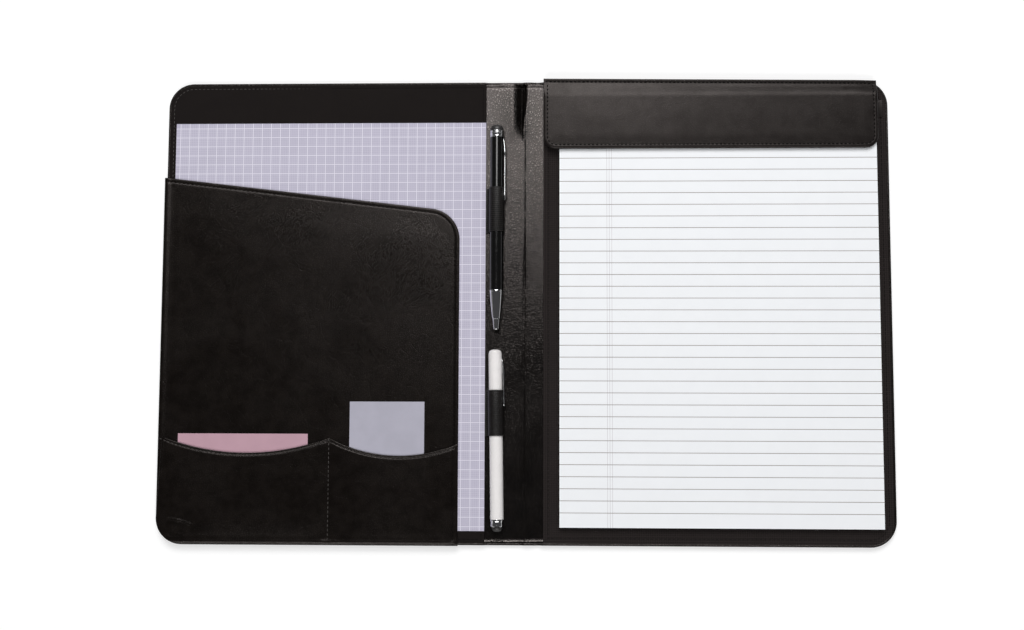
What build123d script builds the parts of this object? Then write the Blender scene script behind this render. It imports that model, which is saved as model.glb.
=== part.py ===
from build123d import *
import os
from math import cos, radians, sin

# An open padfolio lying on its back, in millimetres.
# X runs across the two open covers, Y runs up the page and Z stands up from the table.
# The origin is the middle of the footprint, on the table.

os.makedirs("parts", exist_ok=True)

# Paper that the padfolio is made for
page_width = 215.9
sheet_height = 279.4
sheet_thickness = 0.3
pad_height = 295.3
pad_card_thickness = 0.5
pad_sheets_thickness = 3.0
pad_tape_thickness = 0.15
pad_tape_width = 14.0

# Business cards
card_long_side = 88.9
card_short_side = 50.8
card_thickness = 0.4

# Margins of the paper on the covers. The covers take their size from the paper and these.
sheet_edge_margin = 5.75
sheet_lining_margin = 0.1
pen_margin_width = 15.75
sheet_foot_margin = 9.55
pad_left_margin = 12.75
pad_foot_margin = 12.35
pad_head_margin = 9.85

# Covers and spine
cover_corner_radius = 17.5
spine_width = 22.0
skin_thickness = 0.7
foam_thickness = 0.7
board_thickness = 1.8
lining_thickness = 0.4
inner_skin_thickness = 0.7
spine_stiffener_thickness = 0.7
skin_edge_rounding = 0.5
lining_overhang = 1.0
right_lining_setback = 1.75
spine_valley_offset = 5.0
spine_ridge_offset = 1.25
spine_valley_depth = 0.3

# Clearances
layer_clearance = 0.15
slip_clearance = 0.1
fold_clearance = 0.2

# Document pocket: a leather panel with a slanted mouth, open at the top and at the right.
# Heights of both pockets and of the cards are above the foot of the cover.
pocket_leather_thickness = 0.8
pocket_wrap = 1.5
pocket_foot_wrap = 0.5
pocket_wrap_depth = 3.6
pocket_sheet_reveal = 18.0
document_mouth_high = 251.05
document_mouth_low = 226.55
document_mouth_radius = 21.5
seam_width = 4.5

# Card pocket: a lower panel with two scooped mouths
card_pocket_inset = 0.25
card_mouth_left = 73.45
card_mouth_divider = 71.75
card_mouth_right = 68.05
left_scoop_bottom = 61.45
right_scoop_bottom = 59.85
left_cell_width = 111.0
divider_width = 3.0
pink_card_shift = -0.6
pink_card_top = 74.35
grey_card_shift = -2.75
grey_card_top = 96.25

# Pen loops of woven elastic, their middles above the foot of the cover
loop_thickness = 0.8
loop_length = 31.3
upper_loop_middle = 227.4
lower_loop_middle = 88.75
loop_seat = 0.05
pen_fit = 0.15
pen_offset = 8.15
white_pen_lean = 0.85

# Black twist pen. Heights along a pen are from the middle of its loop.
black_radius = 4.6
black_crown_height = 4.4
black_crown_side = 1.1
black_crown_shoulder = 3.8
black_ring_height = 4.4
black_ring_proud = 0.12
black_ring_bottom = 50.25
black_split = -2.65
black_nose_top = -55.35
black_nose_length = 19.5
black_point_length = 7.4
black_point_root_radius = 2.7
black_point_end_radius = 1.7
black_barrel_wall = 0.9
black_spigot_length = 10.0
black_spigot_clearance = 0.2
black_spigot_wall = 0.9
twist_sleeve_length = 38.0
turning_gap = 0.1

# Refill of the black pen, drawn back inside the point
refill_radius = 1.6
refill_length = 100.0
refill_point_radius = 1.0
refill_point_length = 10.6
refill_recess = 1.0
refill_travel = 5.0
refill_clearance = 0.2

# White capped pen
white_radius = 4.55
white_crown_height = 2.5
white_crown_side = 0.75
white_crown_shoulder = 3.4
white_cap_length = 54.4
white_cap_end = -14.0
white_cap_wall = 0.7
white_barrel_length = 57.0
white_end_ring_height = 4.8
white_end_plug_height = 3.3
white_end_plug_side = 1.3
white_end_plug_shoulder = 3.2
white_end_taper = 0.25
white_end_plug_radius = 3.7
white_barrel_wall = 1.1
grip_clearance = 0.25
grip_length = 23.0
grip_taper_length = 4.0
grip_front_radius = 3.0
white_point_length = 11.0
white_point_end_radius = 0.5
white_refill_radius = 2.4
white_refill_length = 66.0

# Pocket clips of both pens
clip_tilt = 35.0
clip_outer_radius = 6.9
clip_thickness = 0.85
clip_width = 2.4
clip_edge_rounding = 0.2
clip_foot_gap = 0.03
clip_foot_length = 3.4
clip_rise_length = 8.5
black_clip_drop = 1.5
black_clip_length = 42.4
white_clip_drop = 3.5
white_clip_length = 32.5
clip_lip_length = 5.0
clip_lip_lift = 0.1

# Strap that holds the head of the pad, hidden under the flap
strap_thickness = 0.7
strap_width = 12.0
strap_head_gap = 4.0
strap_side_gap = 0.3
strap_left_tab = 8.5
strap_right_tab = 5.0

# Flap over the head of the pad
flap_fold_gap = 0.6
flap_depth = 38.9
flap_side_reach = 0.9
flap_corner_radius = 8.5
flap_skin_thickness = 0.7
flap_board_thickness = 0.7
flap_backing_thickness = 0.4
flap_board_inset = 3.0
flap_backing_inset = 1.2
flap_edge_rounding = 0.5
flap_hinge_gap = 0.05
flap_root_thickness = 1.2
flap_root_overhang = 0.5
flap_root_seam = 3.0
flap_root_wrap = 2.8

# Positions that follow from the sizes above
cover_width = sheet_edge_margin + page_width + sheet_lining_margin + pen_margin_width
cover_height = pad_foot_margin + pad_height + pad_head_margin
half_height = cover_height / 2
cover_foot = -half_height
spine_middle = pocket_wrap / 2
left_fold = spine_middle - spine_width / 2
right_fold = spine_middle + spine_width / 2
left_edge = left_fold - cover_width
right_edge = right_fold + cover_width
foam_bottom = skin_thickness
board_bottom = foam_bottom + foam_thickness
lining_bottom = board_bottom + board_thickness
cover_top = lining_bottom + lining_thickness
inner_skin_bottom = skin_thickness + spine_stiffener_thickness
inner_skin_top = inner_skin_bottom + inner_skin_thickness
fold_setback = inner_skin_top - skin_thickness + fold_clearance
left_lining_edge = left_fold - pen_margin_width
right_lining_edge = right_fold + right_lining_setback
left_core_start = left_lining_edge - lining_overhang
right_core_start = right_lining_edge + lining_overhang
core_inset = skin_thickness + layer_clearance

sheet_left = left_edge + sheet_edge_margin
sheet_bottom = cover_top + slip_clearance
document_bottom = sheet_bottom + sheet_thickness + slip_clearance
document_top = document_bottom + pocket_leather_thickness
card_bottom = document_top + slip_clearance
card_panel_bottom = card_bottom + card_thickness + slip_clearance
card_panel_top = card_panel_bottom + pocket_leather_thickness
pocket_left = left_edge - pocket_wrap
pocket_right = left_lining_edge - pocket_sheet_reveal
pocket_foot = cover_foot - pocket_foot_wrap
panel_left = pocket_left + card_pocket_inset
panel_right = pocket_right - card_pocket_inset
panel_foot = pocket_foot + card_pocket_inset
left_cell_start = panel_left + seam_width
left_cell_end = left_cell_start + left_cell_width
right_cell_start = left_cell_end + divider_width
right_cell_end = panel_right - seam_width
divider_x = (left_cell_end + right_cell_start) / 2

loop_inner_radius = black_radius + pen_fit
loop_outer_radius = loop_inner_radius + loop_thickness
pen_x = left_fold - pen_offset
pen_z = inner_skin_top + loop_seat + loop_outer_radius

pad_left = right_fold + pad_left_margin
pad_right = pad_left + page_width
pad_foot = cover_foot + pad_foot_margin
pad_head = pad_foot + pad_height
pad_bottom = cover_top + slip_clearance
pad_sheets_bottom = pad_bottom + pad_card_thickness
pad_top = pad_sheets_bottom + pad_sheets_thickness
tape_top = pad_top + pad_tape_thickness
strap_bottom = tape_top + layer_clearance
strap_top = strap_bottom + strap_thickness
flap_left = right_lining_edge
flap_right = pad_right + flap_side_reach
flap_fold_y = pad_head + flap_fold_gap
flap_foot = flap_fold_y - flap_depth
flap_head = flap_fold_y - flap_hinge_gap
flap_bottom = strap_top + slip_clearance
flap_board_bottom = flap_bottom + flap_backing_thickness
flap_board_top = flap_board_bottom + flap_board_thickness
flap_top = flap_board_top + flap_skin_thickness


def save(name, builder):
    builder.part.label = name
    export_step(builder.part, f"parts/{name}.step")


def rectangle_between(left, foot, right, head):
    with Locations(((left + right) / 2, (foot + head) / 2)):
        Rectangle(right - left, head - foot)


def plate(bottom, thickness, left, foot, right, head):
    with BuildPart() as piece:
        with BuildSketch(Plane.XY.offset(bottom)):
            rectangle_between(left, foot, right, head)
        extrude(amount=thickness)
    return piece


def cover_outline(bottom, fold_x, edge_x, inset=0.0):
    # Rectangle from the fold side to the outer edge, rounded at its two outer corners.
    outer_x = edge_x - inset if edge_x > fold_x else edge_x + inset
    with BuildSketch(Plane.XY.offset(bottom)) as outline:
        rectangle_between(min(fold_x, outer_x), cover_foot + inset,
                          max(fold_x, outer_x), half_height - inset)
        by_x = outline.vertices().sort_by(Axis.X)
        corners = by_x[-2:] if edge_x > fold_x else by_x[:2]
        fillet(corners, cover_corner_radius - inset)
    return outline.sketch


def cover_layer(bottom, thickness, fold_x, edge_x, inset=0.0):
    with BuildPart() as layer:
        extrude(cover_outline(bottom, fold_x, edge_x, inset), amount=thickness)
    return layer


def cover_skin(fold_x, edge_x, wall_start):
    # Leather back of a cover with its turned-up edge on the three outer sides.
    wall_height = lining_bottom - skin_thickness
    with BuildPart() as skin:
        extrude(cover_outline(0, fold_x, edge_x), amount=skin_thickness)
        extrude(cover_outline(skin_thickness, wall_start, edge_x), amount=wall_height)
        hollow = cover_outline(skin_thickness, wall_start, edge_x, skin_thickness)
        extrude(hollow, amount=wall_height, mode=Mode.SUBTRACT)
        back_edges = skin.faces().sort_by(Axis.Z)[0].edges().sort_by(Axis.X)
        outer_edges = back_edges[1:] if edge_x > fold_x else back_edges[:-1]
        fillet(outer_edges, skin_edge_rounding)
    return skin


# Right cover
save("right_outer_skin", cover_skin(right_fold, right_edge, right_lining_edge))
save("right_foam", cover_layer(foam_bottom, foam_thickness, right_fold + fold_setback, right_edge,
                               core_inset))
save("right_board", cover_layer(board_bottom, board_thickness, right_core_start, right_edge, core_inset))
save("right_lining", cover_layer(lining_bottom, lining_thickness, right_lining_edge, right_edge))

# Left cover
save("left_outer_skin", cover_skin(left_fold, left_edge, left_core_start))
save("left_foam", cover_layer(foam_bottom, foam_thickness, left_fold - fold_setback, left_edge,
                              core_inset))
save("left_board", cover_layer(board_bottom, board_thickness, left_core_start, left_edge, core_inset))
save("left_lining", cover_layer(lining_bottom, lining_thickness, left_lining_edge, left_edge))

# Leather strip between the left lining and the fold, where the pens lie
save("pen_strip", plate(inner_skin_bottom, inner_skin_thickness, left_core_start + layer_clearance,
                        cover_foot, left_fold - fold_setback, half_height))

# Spine: leather back, thin stiffener and the inner leather with its pressed crease
with BuildPart() as spine_outer_skin:
    with BuildSketch():
        rectangle_between(left_fold, cover_foot, right_fold, half_height)
    extrude(amount=skin_thickness)
    end_edges = spine_outer_skin.faces().sort_by(Axis.Z)[0].edges().filter_by(Axis.X)
    fillet(end_edges, skin_edge_rounding)
save("spine_outer_skin", spine_outer_skin)

save("spine_stiffener", plate(skin_thickness, spine_stiffener_thickness,
                              left_fold + fold_setback, cover_foot + core_inset,
                              right_fold - fold_setback, half_height - core_inset))

with BuildPart() as spine_inner_skin:
    skin_start = left_fold + slip_clearance
    skin_end = right_fold - slip_clearance
    valley_x = spine_middle - spine_valley_offset
    ridge_x = spine_middle + spine_ridge_offset
    with BuildSketch(Plane.XZ.offset(-half_height)):
        with BuildLine():
            Polyline((skin_start, inner_skin_bottom), (skin_end, inner_skin_bottom),
                     (skin_end, inner_skin_top), (ridge_x, inner_skin_top),
                     (valley_x, inner_skin_top - spine_valley_depth),
                     (skin_start, inner_skin_top), close=True)
        make_face()
    extrude(amount=cover_height)
save("spine_inner_skin", spine_inner_skin)

# Squared sheet
sheet_foot = cover_foot + sheet_foot_margin
save("grid_sheet", plate(sheet_bottom, sheet_thickness, sheet_left, sheet_foot,
                         sheet_left + page_width, sheet_foot + sheet_height))

# Document pocket: the panel, its wrap round the edge of the cover and its sewn left and foot seams
pocket_rim_bottom = document_bottom - pocket_wrap_depth
with BuildPart() as document_pocket:
    with BuildSketch(Plane.XY.offset(pocket_rim_bottom)) as panel:
        with BuildLine():
            Polyline((pocket_left, cover_foot + document_mouth_high),
                     (pocket_right, cover_foot + document_mouth_low),
                     (pocket_right, pocket_foot), (pocket_left, pocket_foot), close=True)
        make_face()
        mouth_corner = panel.vertices().sort_by(Axis.X)[-2:].sort_by(Axis.Y)[-1]
        foot_corner = panel.vertices().sort_by(Axis.Y)[:2].sort_by(Axis.X)[0]
        fillet(mouth_corner, document_mouth_radius)
        fillet(foot_corner, cover_corner_radius + pocket_foot_wrap)
    extrude(amount=document_top - pocket_rim_bottom)
    cover_space = cover_outline(pocket_rim_bottom, right_edge, left_edge)
    extrude(cover_space, amount=cover_top - pocket_rim_bottom, mode=Mode.SUBTRACT)
    with BuildSketch(Plane.XY.offset(cover_top)):
        rectangle_between(left_edge + seam_width, cover_foot + seam_width, right_edge, half_height)
    extrude(amount=document_bottom - cover_top, mode=Mode.SUBTRACT)
save("document_pocket", document_pocket)

# Card pocket: a lower panel sewn along its sides, its foot and the divider
with BuildPart() as card_pocket:
    left_scoop_x = (panel_left + divider_x) / 2
    right_scoop_x = (divider_x + panel_right) / 2
    mouth_start = (panel_left, cover_foot + card_mouth_left)
    mouth_peak = (divider_x, cover_foot + card_mouth_divider)
    mouth_end = (panel_right, cover_foot + card_mouth_right)
    with BuildSketch(Plane.XY.offset(document_top)) as panel:
        with BuildLine():
            Polyline(mouth_start, (panel_left, panel_foot), (panel_right, panel_foot), mouth_end)
            ThreePointArc(mouth_start, (left_scoop_x, cover_foot + left_scoop_bottom), mouth_peak)
            ThreePointArc(mouth_peak, (right_scoop_x, cover_foot + right_scoop_bottom), mouth_end)
        make_face()
        foot_corner = panel.vertices().sort_by(Axis.Y)[:2].sort_by(Axis.X)[0]
        fillet(foot_corner, cover_corner_radius + pocket_foot_wrap - card_pocket_inset)
    extrude(amount=card_panel_top - document_top)
    with BuildSketch(Plane.XY.offset(document_top)):
        rectangle_between(left_cell_start, panel_foot + seam_width, left_cell_end, half_height)
        rectangle_between(right_cell_start, panel_foot + seam_width, right_cell_end, half_height)
    extrude(amount=card_panel_bottom - document_top, mode=Mode.SUBTRACT)
save("card_pocket", card_pocket)


def business_card(cell_start, cell_end, shift, top, width, height):
    left = (cell_start + cell_end - width) / 2 + shift
    head = cover_foot + top
    return plate(card_bottom, card_thickness, left, head - height, left + width, head)


save("pink_card", business_card(left_cell_start, left_cell_end, pink_card_shift, pink_card_top,
                                card_long_side, card_short_side))
save("grey_card", business_card(right_cell_start, right_cell_end, grey_card_shift, grey_card_top,
                                card_short_side, card_long_side))


# Pens and their loops. Each pen has its own plane: local x points right of the pen and local y up
# its length. The origin is on the pen's centre line at the middle of its loop.
def pen_plane(middle, lean):
    return Plane(origin=(pen_x, cover_foot + middle, pen_z),
                 x_dir=(cos(radians(lean)), sin(radians(lean)), 0), z_dir=(0, 0, 1))


black_plane = pen_plane(upper_loop_middle, 0)
white_plane = pen_plane(lower_loop_middle, white_pen_lean)


def turned(plane, *profile):
    # Body of revolution about the pen, from a closed outline of (radius, height) points.
    with BuildPart() as body:
        with BuildSketch(plane):
            with BuildLine():
                Polyline(*profile, close=True)
            make_face()
        revolve(axis=Axis(plane.origin, plane.y_dir))
    return body


def crown(plane, base, height, radius, side, shoulder_radius):
    # Button at the end of a pen: a short straight side, then a top that leans in at two angles.
    shoulder = base + (side + height) / 2
    flat_radius = 2 * shoulder_radius - radius
    return turned(plane, (0, base + height), (0, base), (radius, base), (radius, base + side),
                  (shoulder_radius, shoulder), (flat_radius, base + height))


def pen_loop(plane):
    # Elastic ring round the pen, with its sewn tail running left under the edge of the lining.
    across = Plane(origin=plane.origin, x_dir=plane.x_dir, z_dir=-plane.y_dir)
    lean_shift = loop_length / 2 * sin(radians(white_pen_lean))
    tail_length = pen_x - left_core_start - layer_clearance - lean_shift
    with BuildPart() as loop:
        with BuildSketch(across):
            Circle(loop_outer_radius)
            rectangle_between(-tail_length, -loop_outer_radius, 0, loop_thickness - loop_outer_radius)
            Circle(loop_inner_radius, mode=Mode.SUBTRACT)
        extrude(amount=loop_length / 2, both=True)
    return loop


def pen_clip(plane, top, length, barrel_radius):
    # Sprung clip: a foot on the pen, a rise to the loop's height, a straight arm and a flared lip.
    tilt = radians(clip_tilt)
    radial = plane.x_dir * cos(tilt) + plane.z_dir * sin(tilt)
    side = Plane(origin=plane.origin, x_dir=radial, z_dir=radial.cross(plane.y_dir))
    seat = barrel_radius + clip_foot_gap
    inner = clip_outer_radius - clip_thickness
    knee = top - clip_rise_length
    low = top - length
    with BuildPart() as clip:
        with BuildSketch(side):
            with BuildLine():
                Polyline((seat, top), (seat + clip_thickness, top), (clip_outer_radius, knee),
                         (clip_outer_radius, low + clip_lip_length),
                         (clip_outer_radius + clip_lip_lift, low), (inner + clip_lip_lift, low),
                         (inner, low + clip_lip_length), (inner, knee - clip_thickness),
                         (seat + clip_thickness / 2, top - clip_foot_length),
                         (seat, top - clip_foot_length), close=True)
            make_face()
        extrude(amount=clip_width / 2, both=True)
        long_edges = clip.edges().filter_by(lambda edge: edge.length > clip_rise_length)
        fillet(long_edges, clip_edge_rounding)
    return clip


save("upper_pen_loop", pen_loop(black_plane))
save("lower_pen_loop", pen_loop(white_plane))

# Black pen, from the crown to the point
black_bore = black_radius - black_barrel_wall
black_ring_top = black_ring_bottom + black_ring_height
black_clip_top = black_ring_bottom - black_clip_drop
black_point_top = black_nose_top - black_nose_length
black_point_end = black_point_top - black_point_length
spigot_radius = black_bore - black_spigot_clearance
lower_bore = spigot_radius - black_spigot_wall
spigot_top = black_split + black_spigot_length
sleeve_foot = black_ring_top - twist_sleeve_length
sleeve_bore = refill_radius + refill_clearance
point_bore = refill_point_radius + refill_clearance
refill_point_end = black_point_end + refill_recess
refill_shoulder = refill_point_end + refill_point_length
refill_top = refill_shoulder + refill_length
point_bore_top = refill_shoulder - refill_travel - turning_gap

save("black_pen_crown", crown(black_plane, black_ring_top, black_crown_height, black_radius,
                              black_crown_side, black_crown_shoulder))
save("black_pen_top_ring", turned(
    black_plane, (black_bore, black_ring_bottom), (black_radius + black_ring_proud, black_ring_bottom),
    (black_radius + black_ring_proud, black_ring_top), (black_bore, black_ring_top)))
save("black_pen_upper_barrel", turned(
    black_plane, (black_bore, black_split), (black_radius, black_split),
    (black_radius, black_ring_bottom), (black_bore, black_ring_bottom)))
save("black_pen_clip", pen_clip(black_plane, black_clip_top, black_clip_length, black_radius))
save("black_pen_twist_sleeve", turned(
    black_plane, (sleeve_bore, sleeve_foot), (black_bore, sleeve_foot),
    (black_bore, black_ring_top), (sleeve_bore, black_ring_top)))
save("black_pen_lower_barrel", turned(
    black_plane, (lower_bore, black_nose_top), (black_radius, black_nose_top),
    (black_radius, black_split - turning_gap), (spigot_radius, black_split - turning_gap),
    (spigot_radius, spigot_top), (lower_bore, spigot_top)))
save("black_pen_nose", turned(
    black_plane, (sleeve_bore, black_nose_top), (black_radius, black_nose_top),
    (black_point_root_radius, black_point_top), (black_point_end_radius, black_point_end),
    (point_bore, black_point_end), (point_bore, point_bore_top), (sleeve_bore, point_bore_top)))
save("black_pen_refill_tube", turned(
    black_plane, (0, refill_shoulder), (refill_radius, refill_shoulder),
    (refill_radius, refill_top), (0, refill_top)))
save("black_pen_refill_point", turned(
    black_plane, (0, refill_point_end), (refill_point_radius / 2, refill_point_end),
    (refill_point_radius, refill_point_end + 2 * refill_point_radius),
    (refill_point_radius, refill_shoulder), (0, refill_shoulder)))

# White pen, from the crown to the plug in its tail
white_cap_top = white_cap_end + white_cap_length
white_clip_top = white_cap_top - white_clip_drop
cap_bore = white_radius - white_cap_wall
grip_radius = cap_bore - grip_clearance
grip_bore = white_refill_radius + refill_clearance
white_barrel_top = white_cap_end - turning_gap
white_barrel_end = white_barrel_top - white_barrel_length
grip_top = white_barrel_top + grip_length
white_refill_foot = grip_top - white_refill_length
white_point_top = grip_top + white_point_length
end_ring_bottom = white_barrel_end - white_end_ring_height
end_radius = white_radius - white_end_taper
white_bore = white_radius - white_barrel_wall
cap_ceiling = white_point_top + white_cap_wall

save("white_pen_crown", crown(white_plane, white_cap_top, white_crown_height, end_radius,
                              white_crown_side, white_crown_shoulder))
save("white_pen_cap", turned(
    white_plane, (cap_bore, white_cap_end), (white_radius, white_cap_end), (white_radius, white_cap_top),
    (0, white_cap_top), (0, cap_ceiling), (cap_bore, cap_ceiling)))
save("white_pen_clip", pen_clip(white_plane, white_clip_top, white_clip_length, white_radius))
save("white_pen_barrel", turned(
    white_plane, (white_bore, white_barrel_end), (white_radius, white_barrel_end),
    (white_radius, white_barrel_top), (white_bore, white_barrel_top)))
save("white_pen_grip", turned(
    white_plane, (grip_bore, white_barrel_top), (grip_radius, white_barrel_top),
    (grip_radius, grip_top - grip_taper_length), (grip_front_radius, grip_top), (grip_bore, grip_top)))
save("white_pen_point", turned(
    white_plane, (0, grip_top), (grip_front_radius, grip_top),
    (white_point_end_radius, white_point_top), (0, white_point_top)))
save("white_pen_refill", turned(
    white_plane, (0, white_refill_foot), (white_refill_radius, white_refill_foot),
    (white_refill_radius, grip_top), (0, grip_top)))
save("white_pen_end_ring", turned(
    white_plane, (0, white_barrel_end), (white_radius, white_barrel_end),
    (end_radius, end_ring_bottom), (0, end_ring_bottom)))
save("white_pen_end_plug", crown(
    Plane(origin=white_plane.origin, x_dir=white_plane.x_dir, z_dir=-white_plane.z_dir),
    -end_ring_bottom, white_end_plug_height, white_end_plug_radius, white_end_plug_side,
    white_end_plug_shoulder))

# Writing pad: stiff card, block of ruled sheets and the tape that binds its head
save("pad_backing_card", plate(pad_bottom, pad_card_thickness, pad_left, pad_foot, pad_right, pad_head))
save("pad_sheets", plate(pad_sheets_bottom, pad_sheets_thickness, pad_left, pad_foot, pad_right, pad_head))

with BuildPart() as pad_binding_tape:
    with BuildSketch(Plane.YZ.offset(pad_left)):
        with BuildLine():
            Polyline((pad_head, pad_bottom), (pad_head + pad_tape_thickness, pad_bottom),
                     (pad_head + pad_tape_thickness, tape_top), (pad_head - pad_tape_width, tape_top),
                     (pad_head - pad_tape_width, pad_top), (pad_head, pad_top), close=True)
        make_face()
    extrude(amount=page_width)
save("pad_binding_tape", pad_binding_tape)

# Strap over the head of the pad, with a sewn tab at each side
with BuildPart() as pad_strap:
    strap_head = pad_head - strap_head_gap
    tunnel_left = pad_left - strap_side_gap
    tunnel_right = pad_right + strap_side_gap
    with BuildSketch(Plane.XZ.offset(-strap_head)) as band:
        with BuildLine():
            Polyline((tunnel_left - strap_left_tab, cover_top), (tunnel_left, cover_top),
                     (tunnel_left, strap_bottom), (tunnel_right, strap_bottom),
                     (tunnel_right, cover_top), (tunnel_right + strap_right_tab, cover_top),
                     (tunnel_right + strap_right_tab, cover_top + strap_thickness),
                     (tunnel_right + strap_thickness, cover_top + strap_thickness),
                     (tunnel_right + strap_thickness, strap_top),
                     (tunnel_left - strap_thickness, strap_top),
                     (tunnel_left - strap_thickness, cover_top + strap_thickness),
                     (tunnel_left - strap_left_tab, cover_top + strap_thickness), close=True)
        make_face()
    extrude(amount=strap_width)
save("pad_strap", pad_strap)


# Flap over the head of the pad: a leather face turned round a stiff board, with a thin backing
def flap_outline(bottom, inset):
    with BuildSketch(Plane.XY.offset(bottom)) as outline:
        rectangle_between(flap_left + inset, flap_foot + inset, flap_right - inset, flap_head - inset)
        fillet(outline.vertices().sort_by(Axis.Y)[:2], flap_corner_radius - inset)
    return outline.sketch


def flap_layer(bottom, thickness, inset):
    with BuildPart() as layer:
        extrude(flap_outline(bottom, inset), amount=thickness)
    return layer


save("flap_backing", flap_layer(flap_bottom, flap_backing_thickness, flap_backing_inset))
save("flap_board", flap_layer(flap_board_bottom, flap_board_thickness, flap_board_inset))

with BuildPart() as flap_skin:
    extrude(flap_outline(flap_bottom, 0), amount=flap_top - flap_bottom)
    top_edges = flap_skin.faces().sort_by(Axis.Z)[-1].edges().sort_by(Axis.Y)[:-1]
    fillet(top_edges, flap_edge_rounding)
    backing_space = flap_outline(flap_bottom, flap_backing_inset)
    extrude(backing_space, amount=flap_backing_thickness, mode=Mode.SUBTRACT)
    board_space = flap_outline(flap_board_bottom, flap_board_inset)
    extrude(board_space, amount=flap_board_thickness, mode=Mode.SUBTRACT)
save("flap_skin", flap_skin)

# Root of the flap: soft leather from the fold down to the seam, wrapped over the head of the cover.
# Its face falls in an S of two arcs that meet halfway.
with BuildPart() as flap_root:
    root_start = flap_fold_y + flap_hinge_gap
    seam_y = half_height - flap_root_seam
    root_edge = half_height + flap_root_overhang
    edge_top = cover_top + flap_root_thickness
    wrap_foot = cover_top - flap_root_wrap
    middle_y = (root_start + seam_y) / 2
    with BuildSketch(Plane.YZ.offset(flap_left)):
        with BuildLine():
            face_middle = (middle_y, (flap_top + edge_top) / 2)
            back_middle = (middle_y, (flap_top - flap_root_thickness + cover_top) / 2)
            falling = TangentArc((root_start, flap_top), face_middle, tangent=(1, 0))
            TangentArc(face_middle, (seam_y, edge_top), tangent=falling % 1)
            Polyline((seam_y, edge_top), (half_height, edge_top),
                     (root_edge, edge_top - flap_root_overhang), (root_edge, wrap_foot),
                     (half_height, wrap_foot), (half_height, cover_top), (seam_y, cover_top))
            rising = TangentArc((seam_y, cover_top), back_middle, tangent=(-1, 0))
            TangentArc(back_middle, (root_start, flap_top - flap_root_thickness), tangent=rising % 1)
            Line((root_start, flap_top - flap_root_thickness), (root_start, flap_top))
        make_face()
    extrude(amount=flap_right - flap_left)
save("flap_root", flap_root)
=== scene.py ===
import math
import bmesh
import bpy
import numpy as np
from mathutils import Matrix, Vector, noise
from mathutils.geometry import delaunay_2d_cdt


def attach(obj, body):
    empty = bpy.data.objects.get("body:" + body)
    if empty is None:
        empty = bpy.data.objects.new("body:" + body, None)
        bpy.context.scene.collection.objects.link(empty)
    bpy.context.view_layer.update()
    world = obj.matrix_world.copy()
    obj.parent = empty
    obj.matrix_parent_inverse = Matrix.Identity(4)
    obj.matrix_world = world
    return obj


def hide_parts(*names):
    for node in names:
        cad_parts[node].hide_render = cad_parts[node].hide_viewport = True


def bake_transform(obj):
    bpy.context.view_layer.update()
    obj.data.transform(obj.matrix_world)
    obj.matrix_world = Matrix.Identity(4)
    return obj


# An open padfolio seen from above. Shapes are worked out in millimetres and scaled by mm.
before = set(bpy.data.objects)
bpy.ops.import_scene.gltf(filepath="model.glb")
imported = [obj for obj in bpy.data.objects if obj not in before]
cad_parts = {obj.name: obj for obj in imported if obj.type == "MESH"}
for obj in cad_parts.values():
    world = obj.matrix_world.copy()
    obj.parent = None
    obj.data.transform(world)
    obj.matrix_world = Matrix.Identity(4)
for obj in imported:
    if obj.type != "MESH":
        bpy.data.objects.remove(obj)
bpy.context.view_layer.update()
mm = 0.001
coverEdge = {"left": -247.75, "right": 249.25, "foot": -158.75, "head": 158.75, "corner": 17.5}
spineMiddle = 0.75
bends = {  # where the leather begins and ends to bend, in x for the covers and in y for the flap
    "left": (-14.0, -6.5), "right": (8.6, 14.0), "flap": (151.8, 146.0)}


# Camera, lights and ground

camera = {"place": (0.02265, -0.08462, 0.900), "turn": (5.19, 1.93, 0.20), "lens": 46.42}
lamps = {  # place, aim, width, depth, radiance
    "headBox": ((-0.02, 0.82, 1.40), (-0.02, 0.82, 0.0), 0.57, 0.96, 5.3),
    "backBox": ((0.0, 2.00, 1.90), (0.0, 0.0, 0.0), 2.4, 1.1, 5.4),
    "frontBox": ((0.0, -1.95, 1.85), (0.0, 0.0, 0.0), 2.4, 1.1, 4.2),
}
ground = {"radius": 30.0, "wall": 3.0, "diffuse": 0.56, "glow": 0.52}


def addObject(name, data):
    obj = bpy.data.objects.new(name, data)
    bpy.context.scene.collection.objects.link(obj)
    return obj


def makeCamera():
    data = bpy.data.cameras.new("camera")
    data.lens, data.sensor_width, data.clip_start = camera["lens"], 36, 0.05
    obj = addObject("camera", data)
    obj.location = camera["place"]
    obj.rotation_euler = [math.radians(a) for a in camera["turn"]]
    bpy.context.scene.camera = obj


def makeLamps():
    for name, (place, aim, width, depth, radiance) in lamps.items():
        data = bpy.data.lights.new(name, "AREA")
        data.shape, data.size, data.size_y = "RECTANGLE", width, depth
        data.energy = radiance * math.pi * width * depth
        obj = addObject(name, data)
        obj.location = place
        obj.rotation_euler = (Vector(aim) - Vector(place)).to_track_quat("-Z", "Y").to_euler()
    world = bpy.data.worlds.new("room")
    world.use_nodes = True
    world.node_tree.nodes["Background"].inputs["Color"].default_value = (0.055, 0.055, 0.057, 1)
    bpy.context.scene.world = world
    bpy.context.scene.view_settings.view_transform = "Standard"


# Node helpers

class Signal:
    # An output socket that can be reckoned with: each sign adds a math node to its tree.
    def __init__(self, socket):
        self.socket = socket

    def __add__(self, other):
        return calc("ADD", self, other)

    def __sub__(self, other):
        return calc("SUBTRACT", self, other)

    def __rsub__(self, other):
        return calc("SUBTRACT", other, self)

    def __mul__(self, other):
        return calc("MULTIPLY", self, other)

    def __truediv__(self, other):
        return calc("DIVIDE", self, other)

    def __rtruediv__(self, other):
        return calc("DIVIDE", other, self)


def treeOf(values):
    return next(v.socket.id_data for v in values if isinstance(v, Signal))


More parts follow.
